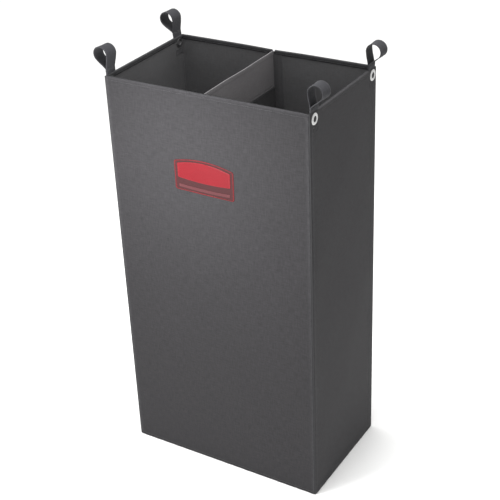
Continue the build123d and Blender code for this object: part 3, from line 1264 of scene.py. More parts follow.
@dataclass
class Stiffeners(Assembly):
    """The boards inside the walls, bowed with the cloth, and the folded corner seams."""

    step: float = 24 * MM
    top_gap: float = 4 * MM

    def build(self) -> Iterable[bpy.types.Object]:
        """Builds each board over its solid.

        Returns:
            The pieces.
        """
        form = self.form
        for node, wall in (("board_front", Wall.FRONT), ("board_back_left", Wall.BACK), ("board_back_right", Wall.BACK),
                           ("board_left", Wall.LEFT), ("board_right", Wall.RIGHT)):
            low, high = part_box(node)
            axis = 0 if wall.runs_in_x else 1
            across = 1 - axis
            reach = form.reach(wall)
            insets = tuple(sorted((reach - abs(low[across]), reach - abs(high[across]))))
            span, top = (low[axis], high[axis]), high[2] - self.top_gap
            if wall.runs_in_x:
                board = form.slab(wall, span, (low[2], top), insets, self.step)
            else:
                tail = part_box(f"loop_tail_back_{wall.name.lower()}")
                waist, shoulder = tail[0][1] - 1 * MM, tail[0][2] - 1 * MM
                lower = form.slab(wall, span, (low[2], shoulder), insets, self.step)
                board = lower.joined(form.slab(wall, (-waist, waist), (shoulder, top), insets, self.step))
            yield self.settle(board, f"{node}_sheet", STIFF_SHEET, "bag", node)
        Dressing(SEAM_CLOTH, [f"corner_seam_{row.word}_{side.word}" for row in Row for side in Side]).apply()


@dataclass
class Lining(Assembly):
    """The inner cloth of each compartment, slack between its seams, and the floor under the boards."""

    slack: float = 0.9 * MM
    top_gap: float = 1.5 * MM

    def half_columns(self, side: Side) -> list[Column]:
        """The outline of one compartment, from the middle of the back to the middle of the front.

        Args:
            side: which compartment.

        Returns:
            The columns in order.
        """
        columns = self.form.columns()
        split = next(
            index for index, (wall, along, _) in enumerate(columns) if wall is Wall.FRONT and abs(along) < 1e-9
        )
        if side is Side.LEFT:
            return columns[: split + 1]
        return columns[split:] + columns[:1]

    def build(self) -> Iterable[bpy.types.Object]:
        """Builds the linings.

        Returns:
            The pieces.
        """
        form = self.form
        top = form.height - self.top_gap
        z = np.concatenate([[form.floor], graded(form.floor + 2 * MM, top, 2 * MM, 8 * MM, 20 * MM)])
        for side in Side:
            columns = self.half_columns(side)
            grid, u = form.loft(columns, z, np.full(len(z), form.wall))
            inward = self.looseness(columns, z)
            for index, column in enumerate(columns):
                grid[:, index, :2] -= np.outer(inward[:, index], form.heading(column)[:2])
            nodes = [f"lining_{side.word}", f"lining_back_{side.word}"]
            if side is Side.LEFT:
                nodes.append("lining_front")
            surface = Surface.from_grid(grid[::-1], u, z[::-1])
            cloth = self.settle(surface, f"lining_cloth_{side.word}", LINING_CLOTH, "bag", *nodes, crease=60)
            yield cloth
        yield self.floor()

    def looseness(self, columns: Sequence[Column], z: Points) -> Points:
        """How far the lining stands in from the boards.

        Args:
            columns: its columns.
            z: its rows.

        Returns:
            Rows by columns of inward distance.
        """
        form = self.form
        out = np.zeros((len(z), len(columns)))
        rise = fade(z - 40 * MM, 60 * MM) * fade(form.height - 14 * MM - z, 40 * MM)
        for index, (wall, along, turn) in enumerate(columns):
            if turn:
                continue
            edge = fade(form.to_corner(columns[index]), 30 * MM)
            folds = 0.5 + 0.3 * np.sin(46 * along + 2.2 * wall.phase + 2.1 * np.sin(5 * z))
            folds = folds + 0.2 * np.sin(17 * z + 31 * along)
            out[:, index] = self.slack * edge * rise * folds
        return out

    def floor(self) -> bpy.types.Object:
        """The floor lining that lies on the bottom.

        Returns:
            The piece.
        """
        form = self.form
        x = spaced(-form.half_x + form.wall, form.half_x - form.wall, 12 * MM)
        y = spaced(form.half_y - form.wall, -form.half_y + form.wall, 12 * MM)
        xs, ys = np.meshgrid(x, y)
        grid = np.stack([xs, ys, np.full(xs.shape, form.floor)], axis=-1)
        surface = Surface.from_grid(grid[::-1], x, y[::-1])
        piece = self.settle(surface, "lining_cloth_floor", LINING_CLOTH, "bag", "lining_bottom")
        return piece


@dataclass
class RimBinding(Assembly):
    """The tape sewn round the inside of the rim, from one side of the notch to the other."""

    deep: float = 8.0 * MM
    thick: float = 0.8 * MM
    cut_w: float = 10.5 * MM

    def build(self) -> Iterable[bpy.types.Object]:
        """Builds the tape and its stitches.

        Returns:
            The pieces.
        """
        form = self.form
        columns = [
            (wall, along, turn)
            for wall, along, turn in form.columns()
            if wall is not Wall.BACK or abs(along) >= form.notch_half
        ]
        top, inner = form.height, form.wall
        face, hem = inner + self.thick, top - self.deep
        section = np.array([
            (inner - 0.2 * MM, hem), (inner + self.thick * 0.8, hem), (face, hem + 0.5 * MM),
            (face, top - self.deep / 2), (face, top - 1.6 * MM),
            (inner + 0.4 * MM, top - 0.5 * MM), (inner - 0.6 * MM, top + 0.15 * MM),
            (inner - 1.2 * MM, top + 0.3 * MM), (inner - 1.2 * MM, top - 0.2 * MM), (inner - 0.2 * MM, top - 1.5 * MM),
        ])
        inset, z = section.T
        grid, u = form.loft(columns, z, inset)
        wave = 0.35 * MM * np.sin(u / (19 * MM)) + 0.2 * MM * np.sin(u / (7 * MM))
        grid[:3, :, 2] += wave[None, :]
        v = lengths(section)
        # Painted highlight, with wear: the tape's top fold is paled where it catches the light.
        rub = hump(z - top, 1.0 * MM)[:, None] * np.ones((1, len(columns)))
        tape = Surface.from_grid(grid[::-1], u, np.append(v, v[-1] + 0.5 * MM), wrap_v=True, cap=True, rub=rub[::-1])
        nodes = [f"rim_tape_{word}" for word in ("front", "back_left", "back_right", "left", "right")]
        piece = self.settle(tape, "rim_binding", TAPE_CLOTH, "bag", *nodes, crease=50)
        yield piece
        half = form.half_x - form.wall - 2 * MM
        gap = form.eyelet_y - 12 * MM
        level = hem + 1.8 * MM
        runs = ((Wall.FRONT, -half, half), (Wall.BACK, -half, -6 * MM), (Wall.BACK, 6 * MM, half),
                (Wall.LEFT, -gap, gap), (Wall.RIGHT, -gap, gap))
        rows = [form.wall_row(wall, (start, end), (level, level), -face) for wall, start, end in runs]
        yield self.sewn("rim_stitching", rows)


@dataclass
class Divider(Assembly):
    """The divider: a boarded sleeve painted darker as shade, a soft band above it painted paler for light shining
    through its thin cloth, and a seam tape at each end.
    """

    ripple: float = 1.6 * MM

    def ends(self, z: Points) -> tuple[Points, Points]:
        """Where the divider meets the front and back linings.

        Args:
            z: heights.

        Returns:
            The Y of its front and back edge at each height.
        """
        form = self.form
        zero = np.zeros(np.shape(z))
        front = -(form.half_y + form.swell(Wall.FRONT, zero, z) - form.wall)
        back = form.half_y + form.swell(Wall.BACK, zero, z) - form.wall
        return front, back

    def sheet_grid(
        self, z: Points, half_t: Points, bend: Callable[[Points, Points], Points], columns: int = 64
    ) -> tuple[Points, Points]:
        """A grid across the divider for one run of heights.

        Args:
            z: the rows' heights.
            half_t: the rows' X from the middle.
            bend: sideways shift from place across, -1 to 1, and height.
            columns: number of columns.

        Returns:
            The grid and the distance across.
        """
        front, back = self.ends(z)
        share = np.linspace(0, 1, columns)
        y = front[:, None] * (1 - share) + back[:, None] * share
        x = half_t[:, None] + bend(2 * share[None, :] - 1, z[:, None])
        grid = np.stack([x, y, np.broadcast_to(z[:, None], y.shape)], axis=-1)
        return grid, share * (back[0] - front[0])

    def build(self) -> Iterable[bpy.types.Object]:
        """Builds the sleeve, board, band, tapes and stitches.

        Returns:
            The pieces.
        """
        yield self.band()
        yield self.sleeve()
        Dressing(STIFF_SHEET, ["divider_board"]).apply()
        yield from self.tapes()
        yield self.stitching()

    def bend(self, across: Points, z: Points) -> Points:
        """Sideways sway of the soft band.

        Args:
            across: place across, -1 to 1.
            z: height.

        Returns:
            The shift along X.
        """
        low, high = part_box("divider_band")[0][2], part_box("divider_band")[1][2]
        rise = fade(z - low, high - low)
        shape = np.sin(2.6 * across + 0.5) * 0.7 + 0.3 * np.sin(7.1 * across + 1.2)
        return self.ripple * rise**1.5 * shape * (1 - across**2) ** 0.5

    def band(self) -> bpy.types.Object:
        """The soft band, folded over at the top.

        Returns:
            The piece.
        """
        low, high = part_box("divider_band")
        half, top, bottom = high[0], high[2], low[2]
        up = graded(bottom, top - half, 1 * MM, 5 * MM, 8 * MM)
        roll = np.linspace(0, math.pi, 9)[1:-1]
        swollen = half + 0.25 * MM * hump(up - top + 5 * MM, 4 * MM)
        z = np.concatenate([up, top - half + half * np.sin(roll), up[::-1]])
        x = np.concatenate([swollen, half * np.cos(roll), -swollen[::-1]])
        grid, u = self.sheet_grid(z, x, self.bend)
        rub = hump(z - top, 2 * MM)[:, None] * np.ones((1, grid.shape[1]))
        v = lengths(np.column_stack([x, z]))
        surface = Surface.from_grid(grid, u, v, rub=rub)
        piece = self.settle(surface, "divider_band_cloth", BAND_CLOTH_PAINTED_GLOW, "bag", "divider_band", crease=70)
        return piece

    def sleeve(self) -> bpy.types.Object:
        """The sleeve round the divider's board, closed at its top by the band's seam.

        Returns:
            The piece.
        """
        low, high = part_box("divider_sleeve")
        half, top = high[0], high[2]
        up = graded(low[2], top - 1.2 * MM, 2 * MM, 9 * MM, 12 * MM)
        edge = np.array([(half, top - 0.6 * MM), (half - 0.4 * MM, top), (0.9 * MM, top + 0.3 * MM)])
        z = np.concatenate([up, edge[:, 1], edge[::-1, 1], up[::-1]])
        x = np.concatenate([np.full(len(up), half), edge[:, 0], -edge[::-1, 0], np.full(len(up), -half)])

        def wave(across: Points, level: Points) -> Points:
            """Shallow waves that die out at the sides and the top."""
            sway = 0.35 * MM * np.sin(6 * across + 9 * level) * (1 - across**2)
            return sway * fade(top - level, 50 * MM)

        grid, u = self.sheet_grid(z, x, wave)
        v = lengths(np.column_stack([x, z]))
        surface = Surface.from_grid(grid, u, v)
        piece = self.settle(surface, "divider_sleeve_cloth", SLEEVE_CLOTH_PAINTED_SHADE, "bag", "divider_sleeve", crease=50)
        return piece

    def tapes(self) -> Iterable[bpy.types.Object]:
        """The seam tapes that hold the divider to the front and back.

        Returns:
            The pieces.
        """
        form = self.form
        for row in Row:
            node = f"divider_flange_{row.word}"
            low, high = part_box(node)
            half, top, bottom = high[0], high[2], low[2]
            x = np.array([-half, -half + 0.4 * MM, -6 * MM, -3 * MM, 0.0, 3 * MM, 6 * MM, half - 0.4 * MM, half])
            stand = np.array([0.1, 0.8, 0.8, 1.2, 2.2, 1.2, 0.8, 0.8, 0.1]) * MM
            z = spaced(bottom, top, 9 * MM)
            wavy = 0.5 * MM * np.sin(z / (23 * MM)) + 0.3 * MM * np.sin(z / (9 * MM))
            ends = np.where(np.abs(x) > half - 1 * MM, 1.0, 0.0)
            along = x[None, :] + wavy[:, None] * ends[None, :] * np.sign(x)[None, :]
            grid = form.place(row.wall, along, z[:, None], -(form.wall + stand)[None, :])
            grid = grid if row is Row.BACK else grid[:, ::-1]
            surface = Surface.from_grid(grid, x, z)
            piece = self.settle(surface, f"divider_tape_{row.word}", FLANGE_CLOTH, "bag", node, crease=60)
            yield piece

    def stitching(self) -> bpy.types.Object:
        """The rows through the tapes, the top of the sleeve and the band's fold.

        Returns:
            The piece.
        """
        form = self.form
        rows = []
        low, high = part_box("divider_flange_back")
        levels, out = (low[2] + 6 * MM, high[2] - 3 * MM), -(form.wall + 0.8 * MM)
        for row in Row:
            for along in (-high[0] + 3 * MM, -6.5 * MM, 6.5 * MM, high[0] - 3 * MM):
                rows.append(form.wall_row(row.wall, (along, along), levels, out))
        sleeve, (band_low, band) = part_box("divider_sleeve")[1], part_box("divider_band")
        seams = ((sleeve[2] - 3.5 * MM, sleeve[0]), (band[2] - 9 * MM, band[0]), (band_low[2] + 4 * MM, band[0]))
        for level, half in seams:
            front, back = self.ends(np.array([level]))
            across = np.linspace(-0.985, 0.985, 120)
            y = (front[0] * (1 - across) + back[0] * (1 + across)) / 2
            for sign in (-1, 1):
                x = sign * half + self.bend(across, np.full(across.shape, level))
                path = np.stack([x, y, np.full(y.shape, level)], axis=1)
                rows.append(TOP_STITCH.row(path, np.broadcast_to(np.array([sign, 0.0, 0.0]), path.shape)))
        return self.sewn("divider_stitching", rows)


@dataclass
class HangingLoop(Assembly):
    """A webbing loop: it leaves the rim doubled, opens into a teardrop, and bends where it leaves."""

    row: Row
    side: Side
    neck: float = 11.0 * MM
    ring_r: float = 15.0 * MM
    ring_out: float = 8.5 * MM
    ring_up: float = 38.5 * MM
    thick: float = 1.6 * MM
    root: float = 7.0 * MM
    sag: float = 2.0 * MM
    tack_mm: tuple[float, float] = (5.0, 8.6)
    yaw: float = 0.0

    @property
    def name(self) -> str:
        """The corner's name."""
        return f"{self.row.word}_{self.side.word}"

    @property
    def joint(self) -> dict:
        """The record's joint for this loop."""
        return joint_named(f"loop_{self.name}_flex")

    @property
    def lean(self) -> float:
        """How far the loop leans out at rest, in radians, read from where its solid lies."""
        low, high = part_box(f"loop_{self.name}")
        outermost = max(abs(low[0]), abs(high[0])) - abs(self.joint["pos_m"][0]) - self.ring_r - self.thick / 2
        reach = math.hypot(self.ring_out, self.ring_up)
        return math.asin(min(1.0, outermost / reach)) - math.atan2(self.ring_out, self.ring_up)

    def centreline(self) -> Points:
        """The middle of the webbing in the plane of the loop.

        Returns:
            Points as outward and upward distances from where the loop flexes, once round.
        """
        half = self.thick / 2
        centre = np.array([self.ring_out, self.ring_up - self.sag])
        gap = centre - np.array([0.0, self.neck])
        heading = math.atan2(gap[1], gap[0])
        swing = math.asin(self.ring_r / np.linalg.norm(gap))
        start, stop = heading - swing - math.pi / 2, heading + swing + math.pi / 2
        turns = np.linspace(start, stop, 15)
        arc = centre + self.ring_r * np.stack([np.cos(turns), np.sin(turns)], axis=1)
        drop = -self.root
        control = [(half, drop), (half, drop / 2), (half, 0.0), (half, self.neck * 0.5)]
        control.append((half + 0.05 * MM, self.neck * 0.85))
        leg_out = self.leg(half, arc[0], ((0.28, 0.5, -0.2), (0.65, 0.35, -0.35)))
        leg_in = self.leg(-half, arc[-1], ((0.65, -0.5, 0.0), (0.28, -0.3, 0.0)))
        knots = np.vstack([control, leg_out, arc, leg_in, [(-x, y) for x, y in control[::-1]]])
        return self.smoothed(knots, 6)

    def leg(self, foot: float, end: Points, bows: Sequence[tuple[float, float, float]]) -> Points:
        """One side of the loop, between its neck and its ring.

        Args:
            foot: the neck's outward distance.
            end: where the ring begins.
            bows: share of the way up, and the bow outward and upward there in millimetres.

        Returns:
            The points.
        """
        neck = np.array([foot, self.neck])
        return np.array([(1 - share) * neck + share * end + np.array([out, up]) * MM for share, out, up in bows])

    @staticmethod
    def smoothed(knots: Points, parts: int) -> Points:
        """A smooth path through points.

        Args:
            knots: the points.
            parts: pieces between each two.

        Returns:
            The path.
        """
        padded = np.vstack([2 * knots[0] - knots[1], knots, 2 * knots[-1] - knots[-2]])
        t = np.linspace(0, 1, parts, endpoint=False)[:, None]
        pieces = []
        for a, b, c, d in zip(padded[:-3], padded[1:-2], padded[2:-1], padded[3:]):
            square, cube = 2 * a - 5 * b + 4 * c - d, 3 * b - a - 3 * c + d
            pieces.append(0.5 * (2 * b + (c - a) * t + square * t**2 + cube * t**3))
        return np.vstack([*pieces, knots[-1:]])

    def to_bag(self, flat: Points, across: Points) -> Points:
        """Moves points of the loop's plane into the bag's frame.

        Args:
            flat: outward and upward distances.
            across: distance along the wall from the webbing's middle.

        Returns:
            The points.
        """
        pivot = np.array(self.joint["pos_m"])
        bent = self.lean * np.clip(1 + flat[..., 1] / self.root, 0, 1) ** 2
        lean = np.where(flat[..., 1] > 0, self.lean, bent)
        out = flat[..., 0] * np.cos(lean) + flat[..., 1] * np.sin(lean)
        up = flat[..., 1] * np.cos(lean) - flat[..., 0] * np.sin(lean)
        return np.stack([pivot[0] + self.side.value * out, pivot[1] + across, pivot[2] + up], axis=-1)

    def build(self) -> Iterable[bpy.types.Object]:
        """Builds the webbing, its tack and its tail.

        Returns:
            The pieces.
        """
        low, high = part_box(f"loop_{self.name}")
        half_w = (high[1] - low[1]) / 2
        path = self.centreline()
        tangent = unit(np.gradient(path, axis=0))
        normal = np.stack([tangent[:, 1], -tangent[:, 0]], axis=1)
        t = self.thick / 2 - 0.04 * MM
        section = webbing_section(half_w, t, 0.45 * MM, 0.45)
        run = lengths(path)
        middle = np.abs(run / run[-1] - 0.5) * 2
        cup = 0.35 * MM * (1 - middle[:, None] ** 2) * (section[None, :, 0] / half_w) ** 2
        turned = 0.6 * MM / half_w * np.sin(2.2 * run / run[-1] * math.pi) * np.clip(1.2 - middle, 0, 1)
        turned = turned + math.radians(self.yaw) * self.side.value * fade(path[:, 1], self.ring_up)
        twist = turned[:, None] * section[None, :, 0]
        flat = path[:, None, :] + normal[:, None, :] * (section[None, :, 1] + cup)[..., None]
        flat = flat + np.stack([twist, 0 * twist], axis=-1)
        across = np.broadcast_to(section[None, :, 0], flat.shape[:2])
        grid = self.to_bag(flat, across)
        rub = np.where(np.abs(section[:, 0]) > half_w - 1.0 * MM, 0.9, 0.1)
        if self.side is Side.LEFT:
            grid, rub = grid[:, ::-1], rub[::-1]
        u = np.append(lengths(section), 4 * half_w + 4 * t)
        strap = Surface.from_grid(grid, u, run, wrap_u=True, rub=np.broadcast_to(rub, grid.shape[:2]))
        piece = strap.closed(len(section)).piece(f"hanging_loop_{self.name}", WEBBING, crease=50)
        pivot = np.array(self.joint["pos_m"])
        self.joint["child"]
        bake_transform(piece)
        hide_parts(f"loop_{self.name}")
        yield piece
        yield self.tack(half_w)
        yield from self.tail()

    def tack(self, half_w: float) -> bpy.types.Object:
        """The bar tack across the neck, on both faces.

        Args:
            half_w: half of the webbing's width.

        Returns:
            The piece.
        """
        rows, steps, (low, high) = [], 30, self.tack_mm
        across = np.linspace(-half_w + 2 * MM, half_w - 2 * MM, steps)
        for face in (-1, 1):
            for start, end in ((low, low), (high, high), (low, high), (high, low)):
                up = np.linspace(start, end, steps) * MM
                flat = np.stack([np.full(steps, face * (self.thick + 0.02 * MM)), up], axis=1)
                path = self.to_bag(flat, across)
                facing = np.array([self.side.value * face, 0.0, 0.0])
                rows.append(TACK_STITCH.row(path, np.broadcast_to(facing, path.shape)))
        return self.sewn(f"loop_tack_{self.name}", rows, self.joint["child"])

    def tail(self) -> Iterable[bpy.types.Object]:
        """The sewn-in tail and the box of stitches that holds it.

        Returns:
            The pieces.
        """
        form, wall = self.form, self.side.wall
        low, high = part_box(f"loop_tail_{self.name}")
        reach = form.reach(wall)
        inner = max(reach - abs(low[0]) + 0.05 * MM, reach - abs(high[0]) + 0.05 * MM)
        Dressing(WEBBING, [f"loop_tail_{self.name}"]).apply()
        middle, half = (low[1] + high[1]) / 2, (high[1] - low[1]) / 2 - 2.5 * MM
        bottom, top = low[2] + 3 * MM, form.eyelet_z - 14 * MM
        rows = []
        corners = [(middle - half, bottom), (middle + half, bottom), (middle + half, top), (middle - half, top)]
        runs = list(zip(corners, corners[1:] + corners[:1])) + [(corners[0], corners[2]), (corners[1], corners[3])]
        for (a, low_z), (b, high_z) in runs:
            for out in (0.1 * MM, -inner - 1.0 * MM):
                rows.append(form.wall_row(wall, (a, b), (low_z, high_z), out, TACK_STITCH))
        yield self.sewn(f"tail_stitching_{self.name}", rows)


# How far each loop is turned about the vertical, in degrees.
YAW = {
    (Row.FRONT, Side.LEFT): 6.0,
    (Row.BACK, Side.LEFT): 5.0,
    (Row.FRONT, Side.RIGHT): 2.0,
    (Row.BACK, Side.RIGHT): 1.0,
}


@dataclass
class Eyelet(Assembly):
    """A two-part plated eyelet: domed flange and barrel outside, washer and rolled lip inside."""

    row: Row
    side: Side
    turns: int = 64
    bore: float = 5.5 * MM

    def build(self) -> Iterable[bpy.types.Object]:
        """Builds the eyelet.

        Returns:
            The piece.
        """
        name = f"{self.row.word}_{self.side.word}"
        low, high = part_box(f"eyelet_{name}")
        inner_x, outer_x = sorted((abs(low[0]), abs(high[0])))
        flange = (high[2] - low[2]) / 2
        bore, face = self.bore, self.form.half_x
        washer_in, washer_out = sorted(abs(corner[0]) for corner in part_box(f"eyelet_washer_{name}"))
        dome = outer_x - face
        outside = [
            (bore, inner_x + 0.5 * MM), (bore, face - 1 * MM), (bore + 0.1 * MM, face + 0.45 * dome),
            (bore + 0.7 * MM, face + 0.85 * dome), (bore + 1.6 * MM, outer_x), (flange * 0.72, face + 0.97 * dome),
            (flange * 0.86, face + 0.8 * dome), (flange - 0.5 * MM, face + 0.48 * dome), (flange, face + 0.12 * dome),
            (flange - 0.1 * MM, face - 0.05 * MM), (bore + 1.0 * MM, face - 0.05 * MM),
        ]
        inside = [
            (bore, inner_x + 0.5 * MM), (bore + 0.5 * MM, inner_x + 0.05 * MM), (bore + 1.6 * MM, inner_x),
            (bore + 2.4 * MM, inner_x + 0.3 * MM), (bore + 2.5 * MM, washer_in - 0.1 * MM),
            (bore + 3.0 * MM, washer_in), (flange - 0.4 * MM, washer_in + 0.05 * MM), (flange, washer_out - 0.2 * MM),
            (flange - 0.1 * MM, washer_out), (bore + 1.0 * MM, washer_out),
        ]
        yield self.settle(self.turned(outside, name), f"plated_eyelet_{name}", NICKEL, "bag", f"eyelet_{name}",
                          crease=35)
        yield self.settle(self.turned(inside, name), f"eyelet_backing_{name}", NICKEL_PAINTED_SHADE, "bag",
                          f"eyelet_washer_{name}", crease=35)

    def turned(self, profile: Sequence[tuple[float, float]], name: str) -> Surface:
        """A profile turned about the eyelet's axis.

        Args:
            profile: radius and distance from the bag's middle.
            name: the corner's name.

        Returns:
            The surface.
        """
        low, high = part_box(f"eyelet_{name}")
        middle = (np.array(low) + np.array(high)) / 2
        smooth = HangingLoop.smoothed(np.array(profile), 3)
        turn = np.arange(self.turns) * math.tau / self.turns
        y = middle[1] + smooth[:, :1] * np.cos(turn)
        z = middle[2] + smooth[:, :1] * np.sin(turn)
        x = np.broadcast_to(self.side.value * smooth[:, 1:], y.shape)
        grid = np.stack([x, y, z], axis=-1)
        if self.side is Side.RIGHT:
            grid = grid[:, ::-1]
        u = np.arange(self.turns + 1) * 0.5 * MM
        return Surface.from_grid(grid, u, lengths(smooth), wrap_u=True)


@dataclass
class FloorBoard(Assembly):
    """A floor board in its sewn cloth cover, with a pull tab and the tape that hinges it."""

    side: Side
    crown: float = 0.5 * MM
    corner_r: float = 6 * MM

    def build(self) -> Iterable[bpy.types.Object]:
        """Builds the cover, tab, hinge tape and stitches.

        Returns:
            The pieces.
        """
        side = self.side.word
        body = f"base_{side}"
        Dressing(STIFF_SHEET, [f"base_board_{side}"]).apply()
        yield self.cover(body)
        yield self.tab(body)
        yield self.hinge_tape(body)
        yield self.stitching(body)

    def cover(self, body: str) -> bpy.types.Object:
        """The cover: two panels that meet in a welt round the edge.

        Args:
            body: the body that carries it.

        Returns:
            The piece.
        """
        side = self.side.word
        low, high = (np.array(corner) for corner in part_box(f"base_cover_{side}"))
        middle, half = (low + high) / 2, (high - low) / 2
        levels = [(-1.0, 0.5), (-0.9, 0.15), (-0.35, 0.0), (0.0, 0.0), (0.35, 0.0), (0.9, 0.15), (1.0, 0.5)]
        outline = self.outline(half[0], half[1], self.corner_r)
        rows = [(outline(inset * MM), -half[2]) for inset in (60.0, 34.0, 18.0, 9.0, 4.5, 2.2, 1.1)]
        rows += [(outline(inset * MM), share * half[2]) for share, inset in levels]
        for inset in (1.1, 2.2, 4.5, 9.0, 18.0, 34.0, 60.0, 90.0, 104.0):
            crown = self.crown * min(1.0, inset / 30) if inset > 2 else 0.0
            rows.append((outline(inset * MM), half[2] + crown))
        grid = np.stack([np.column_stack([ring + middle[:2], np.full(len(ring), middle[2] + z)]) for ring, z in rows])
        u = lengths(rows[8][0])
        v = lengths(np.array([[ring[0][0], ring[0][1], z] for ring, z in rows]))
        surface = Surface.from_grid(grid, np.append(u, u[-1] + 4 * MM), v, wrap_u=True)
        surface.uvs = [(x, y + z) for face in surface.faces for x, y, z in surface.points[list(face)]]
        name, node = f"floor_cover_{side}", f"base_cover_{side}"
        piece = self.settle(surface.closed(grid.shape[1]), name, BASE_CLOTH, body, node, crease=50)
        return piece

    @staticmethod
    def outline(half_x: float, half_y: float, corner_r: float) -> Callable[[float], Points]:
        """Maker of rounded rectangles, one inside another.

        Args:
            half_x: half length.
            half_y: half breadth.
            corner_r: corner radius.

        Returns:
            A function from inset to the outline's points.
        """
        def ring(inset: float) -> Points:
            """The outline at one inset."""
            hx, hy = max(half_x - inset, 1 * MM), max(half_y - inset, 1 * MM)
            r = min(max(corner_r - inset * 0.3, 1.5 * MM), hx * 0.9, hy * 0.9)
            points = []
            corners = ((1, 1), (-1, 1), (-1, -1), (1, -1))
            for quarter, (sx, sy) in enumerate(corners):
                centre = np.array([sx * (hx - r), sy * (hy - r)])
                for turn in np.linspace(0, math.pi / 2, 6) + quarter * math.pi / 2:
                    points.append(centre + r * np.array([math.cos(turn), math.sin(turn)]))
                after = corners[(quarter + 1) % 4]
                leaving = (quarter + 1) * math.pi / 2
                spoke = r * np.array([math.cos(leaving), math.sin(leaving)])
                target = np.array([after[0] * (hx - r), after[1] * (hy - r)]) + spoke
                for share in np.linspace(0, 1, 20)[1:-1]:
                    points.append((centre + spoke) * (1 - share) + target * share)
            return np.array(points)
        return ring

    def tab(self, body: str) -> bpy.types.Object:
        """The webbing pull tab, sewn down at its ends and lifted between them.

        Args:
            body: the body that carries it.

        Returns:
            The piece.
        """
        side = self.side.word
        low, high = (np.array(corner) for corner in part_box(f"base_tab_{side}"))
        x = spaced(low[0] + 0.5 * MM, high[0] - 0.5 * MM, 1.5 * MM)
        share = (x - x[0]) / (x[-1] - x[0])
        lift = 3.2 * MM * np.clip(np.sin(math.pi * fade(share - 0.22, 0.56)), 0, 1) ** 1.3
        half_w, t = (high[1] - low[1]) / 2, (high[2] - low[2]) / 2
        section = webbing_section(half_w, t, 0.4 * MM, 0.3)
        level = (low[2] + t + lift)[:, None] + section[None, :, 1] + self.crown * 0.9
        grid = np.stack(np.broadcast_arrays(x[:, None], section[None, :, 0], level), axis=-1)
        u = np.append(lengths(section), 4 * half_w + 4 * t)
        surface = Surface.from_grid(grid[:, ::-1], u, x, wrap_u=True).closed(len(section))
        return self.settle(surface, f"pull_tab_{side}", WEBBING, body, f"base_tab_{side}", crease=50)

    def hinge_tape(self, body: str) -> bpy.types.Object:
        """The tape that joins the board's outer edge to the wall.

        Args:
            body: the moving body; not used.

        Returns:
            The piece.
        """
        form, side = self.form, self.side
        node = f"base_hinge_tape_{side.word}"
        low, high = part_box(node)
        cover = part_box(f"base_cover_{side.word}")
        wall_x = form.half_x - form.wall
        board_x = max(abs(cover[0][0]), abs(cover[1][0]))
        board_z = cover[1][2]
        path = [
            (wall_x - 0.2 * MM, high[2]), (wall_x - 0.7 * MM, high[2] - 0.5 * MM),
            (wall_x - 0.75 * MM, (high[2] + board_z) / 2 + 2 * MM), (wall_x - 0.75 * MM, board_z + 2.5 * MM),
            (wall_x - 1.0 * MM, board_z + 1.0 * MM), (board_x - 0.8 * MM, board_z + 0.55 * MM),
            (board_x - 5 * MM, board_z + 0.75 * MM), (board_x - 14 * MM, board_z + 1.0 * MM),
            (board_x - 15 * MM, board_z + 0.5 * MM),
        ]
        smooth = HangingLoop.smoothed(np.array(path), 4)
        y = spaced(low[1], high[1], 8 * MM)
        grid = np.stack(np.broadcast_arrays(side.value * smooth[:, :1], y[None, :], smooth[:, 1:]), axis=-1)
        if side is Side.LEFT:
            grid = grid[:, ::-1]
        piece = Surface.from_grid(grid, y, lengths(smooth)).piece(f"hinge_tape_{side.word}", TAPE_CLOTH, crease=70)
        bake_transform(piece)
        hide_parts(node)
        lengths(smooth)[-1]
        f"floor_cover_{side.word}"
        return piece

    def stitching(self, body: str) -> bpy.types.Object:
        """The rows round the cover and across the tab.

        Args:
            body: the body that carries them.

        Returns:
            The piece.
        """
        side = self.side.word
        low, high = (np.array(corner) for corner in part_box(f"base_cover_{side}"))
        middle, half = (low + high) / 2, (high - low) / 2
        up = np.array([0.0, 0.0, 1.0])
        rows = []
        ring = self.outline(half[0], half[1], self.corner_r)(4.5 * MM)
        ring = np.vstack([ring, ring[:1]])
        for sign in (-1, 1):
            level = high[2] + 0.12 * MM if sign > 0 else low[2]
            path = np.column_stack([ring + middle[:2], np.full(len(ring), level)])
            rows.append(TOP_STITCH.row(path, np.broadcast_to(sign * up, path.shape)))
        tab_low, tab_high = (np.array(corner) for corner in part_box(f"base_tab_{side}"))
        near, far, level, steps = tab_low[1] + 3 * MM, tab_high[1] - 3 * MM, tab_high[2] + self.crown, 20
        for start, end in ((tab_low[0] + 2 * MM, tab_low[0] + 8 * MM), (tab_high[0] - 8 * MM, tab_high[0] - 2 * MM)):
            for first, last in ((start, start), (end, end), (start, end)):
                path = np.linspace((first, near, level), (last, far, level), steps)
                rows.append(TACK_STITCH.row(path, np.broadcast_to(up, path.shape)))
        return self.sewn(f"floor_stitching_{side}", rows, body)


